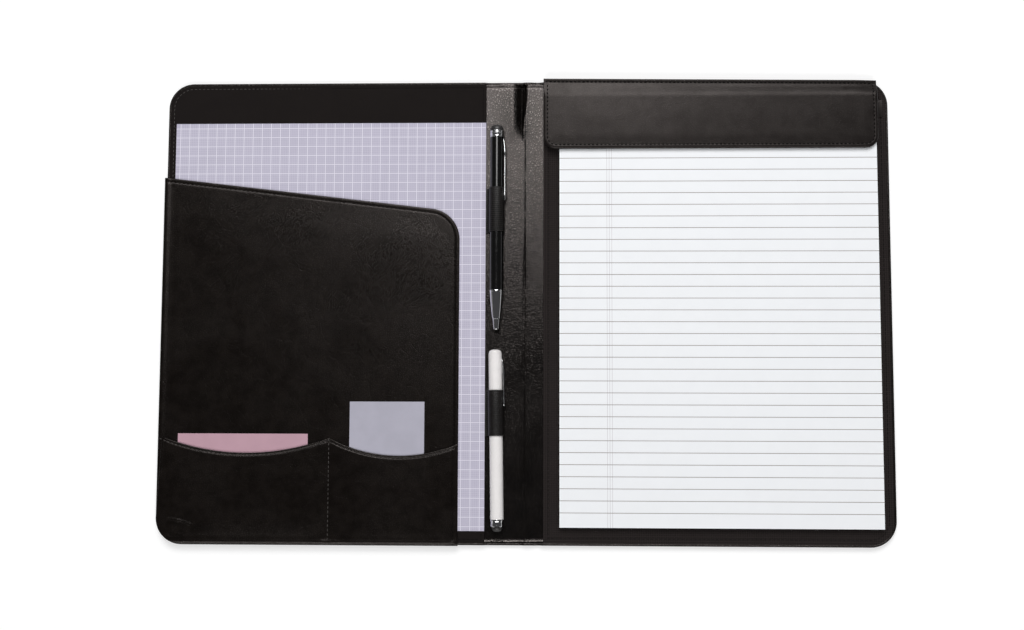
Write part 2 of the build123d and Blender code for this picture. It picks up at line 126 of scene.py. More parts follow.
def feed(target, value):
    # Links an input to a signal, or sets it to a value.
    if isinstance(value, Signal):
        target.id_data.links.new(value.socket, target)
    else:
        target.default_value = value


def put(tree, kind, settings=None, inputs=None):
    node = tree.nodes.new(kind)
    for key, value in (settings or {}).items():
        setattr(node, key, value)
    for key, value in (inputs or {}).items():
        byName = [s for s in node.inputs if s.name == key and s.enabled]
        feed(byName[0] if byName else node.inputs[key], value)
    return node


def read(tree, kind, settings=None, inputs=None, key=0):
    # Adds a node and gives one of its outputs.
    return Signal(put(tree, kind, settings, inputs).outputs[key])


def calc(operation, *values):
    return read(treeOf(values), "ShaderNodeMath", {"operation": operation}, dict(enumerate(values)))


def softBand(value, low, high, start=0.0, end=1.0):
    return read(treeOf([value]), "ShaderNodeMapRange", {"interpolation_type": "SMOOTHSTEP"},
                {"Value": value, "From Min": low, "From Max": high, "To Min": start, "To Max": end})


def mixColour(share, first, second):
    node = put(treeOf([share]), "ShaderNodeMix", {"data_type": "RGBA"}, {"Factor": share})
    for key, value in (("A", first), ("B", second)):
        target = next(s for s in node.inputs if s.name == key and s.type == "RGBA")
        feed(target, value if isinstance(value, Signal) else (*value, 1))
    return Signal(next(s for s in node.outputs if s.type == "RGBA"))


def scaled(colour, factor):
    return tuple(c * factor for c in colour)


def split(vector):
    # The x, y and z of a vector.
    node = put(treeOf([vector]), "ShaderNodeSeparateXYZ", None, {0: vector})
    return [Signal(output) for output in node.outputs]


def noiseOf(vector, scale, detail, distortion=0.0, key=0):
    return read(treeOf([vector]), "ShaderNodeTexNoise", None,
                {"Vector": vector, "Scale": scale, "Detail": detail, "Distortion": distortion}, key)


def newGroup(name, inputs, outputs, kind="ShaderNodeTree"):
    # An input's value is its default, or else the name of its type; every output is of one type.
    tree = bpy.data.node_groups.new(name, kind)
    for label, value in inputs.items():
        socketType = {float: "Float", int: "Int"}.get(type(value), value)
        socket = tree.interface.new_socket(label, in_out="INPUT", socket_type=f"NodeSocket{socketType}")
        if not isinstance(value, str):
            socket.default_value = value
    outputType = "Float" if kind == "ShaderNodeTree" else "Geometry"
    for label in outputs:
        tree.interface.new_socket(label, in_out="OUTPUT", socket_type=f"NodeSocket{outputType}")
    given = {s.name: Signal(s) for s in tree.nodes.new("NodeGroupInput").outputs}
    return tree, given, tree.nodes.new("NodeGroupOutput").inputs


# Shader groups shared by the materials

def makeGrainGroup():
    # Pebbled leather: rounded cells of uneven size, fine pores, slow changes of tone and wrinkles.
    tree, given, out = newGroup(
        "leatherGrain", {"Vector": "Vector", "Cell": 0.001, "Softness": 0.5, "Wrinkle": 1.0},
        ("Height", "Tone", "Gloss", "Pebble"))
    vector, scale = given["Vector"], 1.0 / given["Cell"]
    warp = noiseOf(vector, scale * 0.45, 2.0, key="Color")
    shift = read(tree, "ShaderNodeVectorMath", {"operation": "SCALE"},
                 {0: warp, "Scale": given["Cell"] * 0.9})
    place = read(tree, "ShaderNodeVectorMath", {"operation": "ADD"}, {0: vector, 1: shift})
    cells = read(tree, "ShaderNodeTexVoronoi", {"feature": "DISTANCE_TO_EDGE"},
                 {"Vector": place, "Scale": scale, "Randomness": 0.9}, "Distance")
    pebble = softBand(cells, 0.0, given["Softness"] * 0.7)
    pores = noiseOf(vector, scale * 2.6, 3.0)
    slow = noiseOf(vector, scale * 0.16, 2.0)
    folds = calc("ABSOLUTE", noiseOf(vector, 42.0, 2.0, 0.3) - 0.5)
    fold = softBand(folds, 0.016, 0.0) * given["Wrinkle"]
    feed(out["Height"], pebble + pores * 0.4 + slow * 0.15 - fold)
    feed(out["Tone"], softBand(slow, 0.3, 0.7))
    feed(out["Gloss"], pebble * 0.6 + slow * 0.4)
    feed(out["Pebble"], pebble)
    return tree


def makeWeaveGroup():
    # Plain weave: over and under threads in both directions.
    tree, given, out = newGroup("weave", {"Vector": "Vector", "Pitch": 0.0005}, ("Height", "Gap"))
    along = [part / given["Pitch"] for part in split(given["Vector"])[:2]]
    profiles = [calc("ABSOLUTE", calc("SINE", a * math.pi)) for a in along]
    over = calc("FLOORED_MODULO", calc("FLOOR", along[0]) + calc("FLOOR", along[1]), 2.0)
    warp = profiles[0] * (over * 0.5 + 0.5)
    weft = profiles[1] * ((1.0 - over) * 0.5 + 0.5)
    height = calc("MAXIMUM", warp, weft)
    feed(out["Height"], height)
    feed(out["Gap"], softBand(height, 0.65, 0.25))
    return tree


def makeLinesGroup():
    # Printed lines at an even pitch, between a first and a last place.
    tree, given, out = newGroup(
        "printedLines", {"Place": 0.0, "First": 0.0, "Last": 1.0, "Pitch": 0.008, "Width": 0.0004},
        ("Line",))
    place, half = given["Place"], given["Width"] * 0.5
    steps = (place - given["First"]) / given["Pitch"]
    away = calc("ABSOLUTE", calc("FRACT", steps + 0.5) - 0.5) * given["Pitch"]
    inside = (calc("GREATER_THAN", place, given["First"] - half)
              * calc("LESS_THAN", place, given["Last"] + half))
    feed(out["Line"], softBand(away, half * 1.3, half * 0.7) * inside)
    return tree


def makePaperGroup():
    # Paper and card: fine fibres, and faint clouds from light through the sheet.
    tree, given, out = newGroup("paperFibre", {"Vector": "Vector"}, ("Height", "Cloud"))
    feed(out["Height"], noiseOf(given["Vector"], 2600.0, 4.0))
    feed(out["Cloud"], softBand(noiseOf(given["Vector"], 90.0, 5.0), 0.3, 0.7))
    return tree


def makeHandlingGroup():
    # Marks of use: smears on smooth places and rubbed edges.
    tree, given, out = newGroup("handling", {"Vector": "Vector", "Scale": 60.0, "Edge": 0.5},
                                ("Smear", "Rub"))
    smear = noiseOf(given["Vector"], given["Scale"], 4.0, 0.8)
    patches = noiseOf(given["Vector"], given["Scale"] * 6.0, 3.0)
    feed(out["Smear"], softBand(smear, 0.35, 0.7))
    feed(out["Rub"], softBand(given["Edge"], 0.52, 0.62) * softBand(patches, 0.35, 0.65))
    return tree


groups = {"grain": makeGrainGroup(), "weave": makeWeaveGroup(), "lines": makeLinesGroup(),
          "paper": makePaperGroup(), "handling": makeHandlingGroup()}
print("shader groups made")


# Materials

def startMaterial(name, constants):
    material = bpy.data.materials.new(name)
    material.use_nodes = True
    shader = material.node_tree.nodes["Principled BSDF"]
    for key, value in constants.items():
        shader.inputs[key].default_value = value
    return material, shader, read(material.node_tree, "ShaderNodeTexCoord", key="Object")


def useGroup(name, **inputs):
    node = treeOf(inputs.values()).nodes.new("ShaderNodeGroup")
    node.node_tree = groups[name]
    for key, value in inputs.items():
        feed(node.inputs[key], value)
    return {output.name: Signal(output) for output in node.outputs}


def colour(shader, signal):
    feed(shader.inputs["Base Color"], signal)


def bumped(shader, height, distance, strength=1.0):
    feed(shader.inputs["Normal"], read(shader.id_data, "ShaderNodeBump", None,
                                       {"Height": height, "Distance": distance * mm,
                                        "Strength": strength}))


leathers = {  # cell, depth and wrinkles in mm, colour in deep and raised places, roughness from and to,
    # gloss level and the share of it left in the grooves
    "coverLeather": (1.5, 0.050, 0.0, (0.0032, 0.0026, 0.0023), (0.0070, 0.0058, 0.0052),
                     (0.26, 0.36), 0.42, 0.5),
    "innerLeather": (1.5, 0.038, 0.0, (0.0008, 0.0006, 0.0005), (0.0028, 0.0022, 0.0019),
                     (0.17, 0.26), 0.74, 0.60),
    "pocketLeather": (1.2, 0.026, 0.03, (0.0034, 0.0025, 0.0020), (0.0066, 0.0051, 0.0043),
                      (0.24, 0.34), 0.27, 0.6),
    "flapLeather": (1.2, 0.028, 0.02, (0.0080, 0.0064, 0.0060), (0.0135, 0.0115, 0.0108),
                    (0.28, 0.38), 0.25, 0.85),
}
leatherTint = (1.0, 0.90, 0.86, 1.0)
valleyShadeGlossLoss = 0.93  # share of the gloss taken away in the spine's valley, as painted shade for the folded valley


def makeLeather(name):
    cell, depth, wrinkles, deep, raised, (smooth, dull), level, grooves = leathers[name]
    material, shader, place = startMaterial(name, {"Specular Tint": leatherTint})
    tree = shader.id_data
    grain = useGroup("grain", Vector=place, Cell=cell * mm, Softness=0.5, Wrinkle=wrinkles / depth)
    edge = read(tree, "ShaderNodeNewGeometry", key="Pointiness")
    marks = useGroup("handling", Vector=place, Scale=22.0, Edge=edge)
    base = mixColour(grain["Tone"], deep, raised)
    colour(shader, mixColour(marks["Rub"] * 0.5, base, scaled(raised, 3.0)))
    gloss = (grain["Gloss"] + marks["Smear"]) * 0.5
    feed(shader.inputs["Roughness"], softBand(gloss, 0.1, 0.9, dull, smooth))
    shine = softBand(grain["Pebble"], 0.0, 1.0, level * grooves, level * (1.5 - 0.5 * grooves))
    # Painted shade: the spine's valley loses most of its gloss, so it stays dark.
    paintedValleyShade = read(tree, "ShaderNodeAttribute", {"attribute_name": "paintedValleyShade"}, key="Fac")
    feed(shader.inputs["Specular IOR Level"], shine * (1.0 - paintedValleyShade * valleyShadeGlossLoss))
    bumped(shader, grain["Height"], depth)
    return material


fabrics = {  # pitch in mm, thread and gap colour, relief in mm
    "leftLiningFabric": (0.75, (0.0120, 0.0092, 0.0086), (0.0040, 0.0032, 0.0030), 0.08),
    "rightLiningFabric": (1.50, (0.0240, 0.0192, 0.0184), (0.0040, 0.0033, 0.0031), 0.16),
    "flapBackingFabric": (0.50, (0.0140, 0.0125, 0.0120), (0.0050, 0.0045, 0.0043), 0.06),
}


def makeFabric(name):
    pitch, thread, gap, depth = fabrics[name]
    material, shader, place = startMaterial(name, {"Roughness": 0.80, "Specular IOR Level": 0.10})
    weave = useGroup("weave", Vector=place, Pitch=pitch * mm)
    marks = useGroup("handling", Vector=place, Scale=35.0)
    cloth = mixColour(weave["Gap"], thread, gap)
    colour(shader, mixColour(marks["Smear"] * 0.35, cloth, scaled(thread, 0.6)))
    bumped(shader, weave["Height"], depth)
    return material


threadHighlightPlaces = {  # places in x, in m, where the painted highlight on the black thread begins and where it is full; its grey stands for light the thread catches
    "thread": (-0.125, -0.19), "dividerThread": (0.0, -0.12),
}


def makeThread(name):
    material, shader, place = startMaterial(name, {"Roughness": 0.55, "Specular IOR Level": 0.06})
    twist = read(shader.id_data, "ShaderNodeTexWave", {"bands_direction": "DIAGONAL"},
                 {"Vector": place, "Scale": 1400.0, "Distortion": 1.5}, "Fac")
    # Black thread throughout; the pale mix towards the left in x, full along the divider, is a painted
    # highlight.
    dark = mixColour(twist, (0.0015, 0.0013, 0.0013), (0.0060, 0.0055, 0.0052))
    paintedHighlight = mixColour(twist, (0.045, 0.041, 0.039), (0.115, 0.107, 0.102))
    colour(shader, mixColour(softBand(split(place)[0], *threadHighlightPlaces[name]), dark, paintedHighlight))
    bumped(shader, twist, 0.04)
    return material


elastics = {"elastic": (0.0190, 0.0160, 0.0150), "elasticCore": (0.0022, 0.0018, 0.0016)}


def makeElastic(name):
    yarn = elastics[name]
    material, shader, place = startMaterial(name, {"Roughness": 0.42, "Specular IOR Level": 0.30})
    weave = useGroup("weave", Vector=place, Pitch=0.55 * mm)
    marks = useGroup("handling", Vector=place, Scale=120.0)
    woven = mixColour(weave["Gap"], yarn, scaled(yarn, 0.45))
    colour(shader, mixColour(marks["Smear"] * 0.4, woven, scaled(yarn, 0.8)))
    bumped(shader, weave["Height"], 0.05)
    return material


ruling = {"first": -136.6, "last": 104.4, "pitch": 8.033, "width": 0.42, "ink": (0.27, 0.235, 0.22),
          "margin": (56.8, 60.1, 1.65, 0.30), "marginInk": (0.42, 0.38, 0.40), "marginShare": 0.55,
          "paper": (0.915, 0.932, 0.955)}


def printed(place, first, last, pitch, width):
    # A mask of printed lines, with all measures in mm.
    return useGroup("lines", Place=place, First=first * mm, Last=last * mm, Pitch=pitch * mm,
                    Width=width * mm)["Line"]


def makeRuledPaper():
    material, shader, place = startMaterial("ruledPaper",
                                            {"Roughness": 0.75, "Specular IOR Level": 0.2})
    fibre = useGroup("paper", Vector=place)
    x, y, _ = split(place)
    rule = printed(y, ruling["first"], ruling["last"], ruling["pitch"], ruling["width"])
    margin = printed(x, *ruling["margin"])
    sheet = mixColour(fibre["Cloud"], ruling["paper"], scaled(ruling["paper"], 0.985))
    lined = mixColour(margin * ruling["marginShare"], sheet, ruling["marginInk"])
    up = split(read(shader.id_data, "ShaderNodeNewGeometry", key="Normal"))[2]
    colour(shader, mixColour(rule * calc("GREATER_THAN", up, 0.5), lined, ruling["ink"]))
    bumped(shader, fibre["Height"], 0.01, 0.5)
    return material


squares = {"left": -239.0, "right": -26.0, "foot": -149.2, "head": 126.7, "main": (6.35, 0.52),
           "fine": (1.27, 0.34), "fineShare": 0.34, "paper": (0.478, 0.455, 0.565),
           "line": (0.73, 0.71, 0.80)}


def squareLines(x, y, kind):
    across = printed(x, squares["left"], squares["right"], *squares[kind])
    down = printed(y * -1.0, -squares["head"], -squares["foot"], *squares[kind])
    return calc("MAXIMUM", across, down)


def makeSquaredPaper():
    material, shader, place = startMaterial("squaredPaper",
                                            {"Roughness": 0.7, "Specular IOR Level": 0.25})
    fibre = useGroup("paper", Vector=place)
    x, y, _ = split(place)
    sheet = mixColour(fibre["Cloud"], squares["paper"], scaled(squares["paper"], 0.96))
    fine = mixColour(squareLines(x, y, "fine") * squares["fineShare"], sheet, squares["line"])
    colour(shader, mixColour(squareLines(x, y, "main"), fine, squares["line"]))
    bumped(shader, fibre["Height"], 0.01, 0.5)
    return material


papers = {  # colour, roughness, shade in the clouds
    "pinkPaper": ((0.520, 0.325, 0.385), 0.65, 0.95),
    "greyPaper": ((0.440, 0.430, 0.505), 0.65, 0.94),
    "sheetEdges": ((0.86, 0.87, 0.89), 0.85, 0.90),
    "greyboard": ((0.30, 0.27, 0.23), 0.85, 0.80),
    "padBacking": ((0.34, 0.30, 0.25), 0.80, 0.88),
    "padding": ((0.22, 0.22, 0.23), 0.95, 0.85),
}


def makePaper(name):
    tint, rough, shade = papers[name]
    material, shader, place = startMaterial(name, {"Roughness": rough, "Specular IOR Level": 0.25})
    fibre = useGroup("paper", Vector=place)
    colour(shader, mixColour(fibre["Cloud"], tint, scaled(tint, shade)))
    bumped(shader, fibre["Height"], 0.02, 0.6)
    return material


finishes = {  # colour, other constants, roughness from and to
    "blackLacquer": ((0.0035, 0.0035, 0.0035), {"Coat Weight": 0.25, "Coat Roughness": 0.05},
                     (0.12, 0.18)),
    "whiteLacquer": ((0.92, 0.89, 0.88), {"Coat Weight": 0.5, "Coat Roughness": 0.05}, (0.22, 0.32)),
    "chrome": ((0.86, 0.86, 0.87), {"Metallic": 1.0}, (0.07, 0.14)),
    "darkChrome": ((0.028, 0.026, 0.026), {"Metallic": 0.2}, (0.34, 0.46)),
    "innerPlastic": ((0.028, 0.028, 0.030), {}, (0.35, 0.5)),
    "bindingTape": ((0.020, 0.019, 0.019), {}, (0.45, 0.6)),
}


def makeFinish(name):
    tint, constants, (smooth, dull) = finishes[name]
    material, shader, place = startMaterial(name, constants)
    smear = useGroup("handling", Vector=place, Scale=180.0)["Smear"]
    colour(shader, mixColour(smear * 0.5, tint, scaled(tint, 0.9)))
    feed(shader.inputs["Roughness"], softBand(smear, 0.0, 1.0, smooth, dull))
    return material


def makeGroundMaterial():
    # Seen as a bright ground by the camera, in mirrors and through glass; it lights nothing.
    material, shader, _ = startMaterial(
        "ground", {"Roughness": 1.0, "Specular IOR Level": 0.0,
                   "Base Color": (ground["diffuse"],) * 3 + (1,), "Emission Color": (1, 1, 1, 1)})
    rays = put(shader.id_data, "ShaderNodeLightPath").outputs
    seen = calc("MAXIMUM", Signal(rays["Is Camera Ray"]),
                calc("MAXIMUM", Signal(rays["Is Glossy Ray"]), Signal(rays["Is Transmission Ray"])))
    feed(shader.inputs["Emission Strength"], seen * ground["glow"])
    return material


materials = {"ruledPaper": makeRuledPaper(), "squaredPaper": makeSquaredPaper(),
             "ground": makeGroundMaterial()}
for make, names in ((makeLeather, leathers), (makeFabric, fabrics), (makeThread, threadHighlightPlaces),
                    (makeElastic, elastics), (makePaper, papers), (makeFinish, finishes)):
    materials |= {name: make(name) for name in names}
print("materials made:", len(materials))


# Mesh helpers, all in millimetres

def makePiece(name, points, faces, material, sharp=35.0):
    mesh = bpy.data.meshes.new(name)
    mesh.from_pydata([tuple(float(c) * mm for c in p) for p in points], [], faces)
    mesh.materials.append(materials[material])
    mesh.validate()
    mesh.polygons.foreach_set("use_smooth", [True] * len(mesh.polygons))
    mesh.set_sharp_from_angle(angle=math.radians(sharp))
    return addObject(name, mesh)


def ease(value, low, high):
    t = np.clip((np.asarray(value, float) - low) / (high - low), 0, 1)
    return t * t * (3 - 2 * t)


def hump(value, middle, width):
    return np.exp(-((np.asarray(value, float) - middle) / width) ** 2)


def ripple(x, y, size, seed, stretch=1.0):
    # Smooth noise from -1 to 1 over the plane; size is its wavelength.
    return np.array([noise.noise(Vector((a / size, b / (size * stretch), seed))) for a, b in zip(x, y)])


def distanceTo(x, y, path):
    # Distance from points to a run of straight lines.
    a, b = np.array(path[:-1], float), np.array(path[1:], float)
    away = np.full(len(x), 1e9)
    for start, end in zip(a, b):
        run = end - start
        length = max(float(run @ run), 1e-12)
        t = np.clip(((x - start[0]) * run[0] + (y - start[1]) * run[1]) / length, 0, 1)
        away = np.minimum(away, np.hypot(x - start[0] - t * run[0], y - start[1] - t * run[1]))
    return away


def roundedOutline(corners, step=2.0):
    # Closed outline, anticlockwise, from corners given as x, y and radius.
    points = []
    count = len(corners)
    for i, (x, y, radius) in enumerate(corners):
        here = Vector((x, y))
        before = (Vector(corners[i - 1][:2]) - here).normalized()
        after = (Vector(corners[(i + 1) % count][:2]) - here).normalized()
        if radius <= 0:
            points.append(here)
            continue
        opening = before.angle(after)
        reach = radius / math.tan(opening / 2)
        middle = here + (before + after).normalized() * radius / math.sin(opening / 2)
        start, end = here + before * reach - middle, here + after * reach - middle
        turn = math.pi - opening
        steps = max(4, math.ceil(radius * turn / min(step, radius * 0.35)))
        for k in range(steps + 1):
            t = k / steps
            spin = (start * math.sin((1 - t) * turn) + end * math.sin(t * turn)) / math.sin(turn)
            points.append(middle + spin)
    return densified(points, step, True)


def boxOutline(box, radii, step=2.0):
    # Outline of a box given as left, foot, right and head, from its left foot on.
    left, foot, right, head = box
    corners = ((left, foot), (right, foot), (right, head), (left, head))
    return roundedOutline([(*corner, radius) for corner, radius in zip(corners, radii)], step)


def densified(points, step, closed=False):
    points = [Vector(p[:2]) for p in points]
    made = []
    pairs = zip(points, points[1:] + points[:1]) if closed else zip(points, points[1:])
    for a, b in pairs:
        steps = max(1, math.ceil((b - a).length / step - 1e-6))
        made += [a.lerp(b, k / steps) for k in range(steps)]
    if not closed:
        made.append(points[-1])
    return [(p.x, p.y) for p in made]


def outlineNormals(outline, cut=None):
    # Outward normals scaled so that an inset keeps its width round corners. On a cut end, at x = cut,
    # the outline isn't inset, so that the neighbouring piece meets it.
    ring = np.array(outline)
    forward = np.roll(ring, -1, 0) - ring
    forward /= np.linalg.norm(forward, axis=1)[:, None]
    out = np.stack([forward[:, 1], -forward[:, 0]], 1)
    both = out + np.roll(out, 1, 0)
    both /= np.linalg.norm(both, axis=1)[:, None]
    scale = 1 / np.clip((both * out).sum(1), 0.5, 1)
    normals = both * scale[:, None]
    if cut is not None:
        onCut = np.abs(ring[:, 0] - cut) < 1e-6
        ends = onCut & (np.abs(np.abs(ring[:, 1]) - np.abs(ring[:, 1]).max()) < 1e-6)
        normals[onCut] = 0
        normals[ends, 1] = np.sign(ring[ends, 1])
    return normals


def cornerSlides(outline, reach, cut=None):
    # Shift along the edge, for each mm of inset, that keeps the points near a sharp corner in order.
    ring = np.array(outline)
    count = len(ring)
    forward = np.roll(ring, -1, 0) - ring
    angles = np.arctan2(forward[:, 1], forward[:, 0])
    turns = (angles - np.roll(angles, 1) + math.pi) % (2 * math.pi) - math.pi
    slides = np.zeros((count, 2))
    sharp = [i for i in range(count) if abs(turns[i]) > 0.5]
    for corner in sharp:
        if cut is not None and abs(ring[corner, 0] - cut) < 1e-6:
            continue
        for way in (1, -1):
            here, along = corner, 0.0
            while True:
                beyond = (here + way) % count
                step = ring[beyond] - ring[here]
                along += float(np.hypot(*step))
                if along >= reach or beyond in sharp:
                    break
                slides[beyond] += (step / np.hypot(*step) * math.tan(turns[corner] / 2)
                                   * (1 - along / reach))
                here = beyond
    return slides


def fillPlane(ring, grid, rows=()):
    # Points and anticlockwise triangles that fill a closed ring, with its own points first.
    ring = np.array(ring)
    low, high = ring.min(0), ring.max(0)
    xs = np.linspace(low[0], high[0], max(2, round((high[0] - low[0]) / grid[0]) + 1))[1:-1]
    ys = np.linspace(low[1], high[1], max(2, round((high[1] - low[1]) / grid[1]) + 1))[1:-1]
    inner = [(x, y) for x in xs for y in ys]
    if rows:
        near = np.array([p for row in rows for p in row])
        keep = np.ones(len(inner), bool)
        cloud = np.array(inner)
        for p in near[:: max(1, len(near) // 4000)]:
            keep &= np.hypot(*(cloud - p).T) > 0.35 * min(grid)
        inner = [p for p, k in zip(inner, keep) if k] + [tuple(p) for p in near]
    if inner:
        cloud = np.array(inner)
        inside = np.zeros(len(cloud), bool)
        for a, b in zip(ring, np.roll(ring, -1, 0)):
            crosses = (a[1] > cloud[:, 1]) != (b[1] > cloud[:, 1])
            with np.errstate(divide="ignore", invalid="ignore"):
                at = (b[0] - a[0]) * (cloud[:, 1] - a[1]) / (b[1] - a[1]) + a[0]
            inside ^= crosses & (cloud[:, 0] < at)
        closed = np.vstack([ring, ring[:1]])
        clear = distanceTo(cloud[:, 0], cloud[:, 1], closed) > 0.3 * min(grid)
        inner = [tuple(p) for p, k in zip(inner, inside & clear) if k]
    flat = [Vector(p) for p in ring] + [Vector(p) for p in inner]
    _, _, faces, origins, _, _ = delaunay_2d_cdt(flat, [], [list(range(len(ring)))], 1, 1e-7)
    first = {i: found[0] for i, found in enumerate(origins) if found}
    triangles = []
    for face in faces:
        ids = [first[i] for i in face]
        a, b, c = (flat[i] for i in ids[:3])
        if (b - a).cross(c - a) < 0:
            ids.reverse()
        triangles.append(ids)
    return np.array([tuple(p) for p in flat]), triangles


def panel(name, outline, rings, top, under, material, grid=(4.0, 4.0), rows=(), cut=None,
          underGrid=(12.0, 12.0), underRows=(), sharp=40.0):
    # Closed panel. rings(x, y, nx, ny) lists (inset, kind, value) from the top surface, out round the
    # edge and in below. Kind "top" or "under" adds value to that surface; with "z" it is a height.
    outline = np.array(outline)
    normals = outlineNormals(outline, cut)
    profiles = [rings(x, y, nx, ny) for (x, y), (nx, ny) in zip(outline, normals)]
    deepest = max(p[0] for p in profiles[len(profiles) // 3])
    slides = cornerSlides(outline, max(5.0, 1.7 * deepest), cut)
    levels = []
    for k in range(len(profiles[0])):
        insets = np.array([p[k][0] for p in profiles])
        flat = outline - (normals - slides) * insets[:, None]
        values = np.array([p[k][2] for p in profiles], float)
        kinds = np.array([p[k][1] for p in profiles])
        heights = values.copy()
        for kind, surface in (("top", top), ("under", under)):
            chosen = kinds == kind
            if chosen.any():
                heights[chosen] += surface(flat[chosen, 0], flat[chosen, 1])
        levels.append(np.column_stack([flat, heights]))
    count = len(outline)
    points = [p for level in levels for p in level]
    faces = []
    for k in range(len(levels) - 1):
        for i in range(count):
            j = (i + 1) % count
            faces.append((k * count + i, (k + 1) * count + i, (k + 1) * count + j, k * count + j))
    for level, surface, spacing, extra, flip in ((0, top, grid, rows, False),
                                                 (len(levels) - 1, under, underGrid, underRows, True)):
        flat, triangles = fillPlane(levels[level][:, :2], spacing, extra)
        base = len(points)
        inner = flat[count:]
        if len(inner):
            heights = surface(inner[:, 0], inner[:, 1])
            points += list(np.column_stack([inner, heights]))
        for triangle in triangles:
            ids = [level * count + i if i < count else base + i - count for i in triangle]
            faces.append(tuple(reversed(ids)) if flip else tuple(ids))
    return makePiece(name, points, faces, material, sharp)


def levelAt(height):
    return lambda x, y: np.full(len(x), height)


def topRows(*insets):
    return [(inset, "top", 0.0) for inset in insets]


def edgeRings(*runs):
    # Rings from runs of one kind each, given as (inset, value).
    return [(inset, kind, value) for kind, *steps in runs for inset, value in steps]


def rolledEdge(roll, steps=4, first=1, shares=(1.0, 1.0, 1.0)):
    # Rounded free edge from the top surface to the underside. Its shares of the roll are across, above
    # and below; first is the first step below.
    across, above, below = shares
    made = []
    for kind, down, turns in (("top", -above, range(steps, -1, -1)),
                              ("under", below, range(first, steps + 1))):
        for k in turns:
            angle = math.pi / 2 * k / steps
            inset = roll * (1 - math.cos(angle)) * across
            made.append((inset, kind, roll * (1 - math.sin(angle)) * down))
    return lambda *place: made


def withRows(rings, insets):
    # Adds rings on the top surface, so that welts and seam grooves near the edge are shaped.
    rows = topRows(*sorted(insets, reverse=True))
    return lambda *place: rows + rings(*place)


def insetPath(path, inset, step=1.5):
    # An open run of points moved to its left by inset.
    run = np.array(densified(path, step))
    forward = np.gradient(run, axis=0)
    forward /= np.linalg.norm(forward, axis=1)[:, None]
    return [tuple(p) for p in run + np.stack([-forward[:, 1], forward[:, 0]], 1) * inset]


# Stitches, by Geometry Nodes along runs of points

def endTree(out, instances, material, smooth=True):
    # Real meshes with their material, which is how every tree ends.
    tree = instances.socket.id_data
    made = read(tree, "GeometryNodeRealizeInstances", None, {0: instances})
    if smooth:
        made = read(tree, "GeometryNodeSetShadeSmooth", None, {"Geometry": made})
    feed(out["Geometry"], read(tree, "GeometryNodeSetMaterial", None,
                               {"Geometry": made, "Material": material}))
    return tree


def combined(tree, **parts):
    return read(tree, "ShaderNodeCombineXYZ", None, parts)


def randomValue(tree, low, high, seed):
    return read(tree, "FunctionNodeRandomValue", {"data_type": "FLOAT"},
                {"Min": low, "Max": high, "Seed": seed}, 1)


def makeStitchTree():
    tree, given, out = newGroup(
        "stitchRow", {"Geometry": "Geometry", "Pitch": 0.003, "Length": 0.0022, "Radius": 0.0003,
                      "Slant": 0.0, "Seed": 1, "Thread": "Material"}, ("Geometry",), "GeometryNodeTree")
    curve = read(tree, "GeometryNodeMeshToCurve", None, {"Mesh": given["Geometry"]})
    spread = put(tree, "GeometryNodeCurveToPoints", {"mode": "LENGTH"},
                 {"Curve": curve, "Length": given["Pitch"]}).outputs
    along = read(tree, "FunctionNodeAlignRotationToVector", {"axis": "X"},
                 {"Vector": Signal(spread["Tangent"])}, "Rotation")
    upright = read(tree, "FunctionNodeAlignRotationToVector", {"axis": "Z", "pivot_axis": "X"},
                   {"Rotation": along, "Vector": (0.0, 0.0, 1.0)}, "Rotation")
    swing = combined(tree, Z=given["Slant"] + randomValue(tree, -0.06, 0.06, given["Seed"]))
    swung = read(tree, "FunctionNodeEulerToRotation", None, {0: swing})
    turned = read(tree, "FunctionNodeRotateRotation", {"rotation_space": "LOCAL"},
                  {"Rotation": upright, "Rotate By": swung}, "Rotation")
    bead = read(tree, "GeometryNodeMeshUVSphere", None, {"Segments": 8, "Rings": 5, "Radius": 1.0},
                "Mesh")
    size = combined(tree, X=given["Length"] * 0.5, Y=given["Radius"], Z=given["Radius"] * 0.85)
    stitch = read(tree, "GeometryNodeTransform", None, {"Geometry": bead, "Scale": size})
    placed = read(tree, "GeometryNodeInstanceOnPoints", None,
                  {"Points": Signal(spread["Points"]), "Instance": stitch, "Rotation": turned})
    return endTree(out, placed, given["Thread"])


stitchTree = makeStitchTree()


def runTree(name, tree, points, edges, inputs):
    # Runs a Geometry Nodes tree on points in mm and keeps its result as a plain mesh.
    mesh = bpy.data.meshes.new(name + "Guide")
    mesh.from_pydata([tuple(float(c) * mm for c in p) for p in points], edges, [])
    guide = addObject(name + "Guide", mesh)
    modifier = guide.modifiers.new("nodes", "NODES")
    modifier.node_group = tree
    for item in tree.interface.items_tree:
        if item.in_out == "INPUT" and item.name in inputs:
            modifier[item.identifier] = inputs[item.name]
    made = bpy.data.meshes.new_from_object(guide.evaluated_get(bpy.context.evaluated_depsgraph_get()))
    guide.modifiers.remove(modifier)
    bpy.data.objects.remove(guide)
    made.name = name
    return addObject(name, made)


def stitchRows(name, rows, pitch=3.0, length=2.2, radius=0.28, slant=0.0, seed=1, thread="thread"):
    # rows are runs of (x, y, z) points.
    points, edges = [], []
    for row in rows:
        base = len(points)
        points += row
        edges += [(base + i, base + i + 1) for i in range(len(row) - 1)]
    return runTree(name, stitchTree, points, edges,
                   {"Pitch": pitch * mm, "Length": length * mm, "Radius": radius * mm,
                    "Slant": math.radians(slant), "Seed": seed, "Thread": materials[thread]})


def onSurface(path, surface, lift):
    flat = np.array(densified(path, 1.5))
    heights = surface(flat[:, 0], flat[:, 1]) + lift
    return [tuple(p) for p in np.column_stack([flat, heights])]


# Covers and spine

coverSkin = {"lipWidth": 1.45, "lipHeight": 3.62, "spineLip": 2.55, "foldLip": 0.8, "floor": 0.7,
             "seamInset": 3.2, "seamDepth": 0.28}


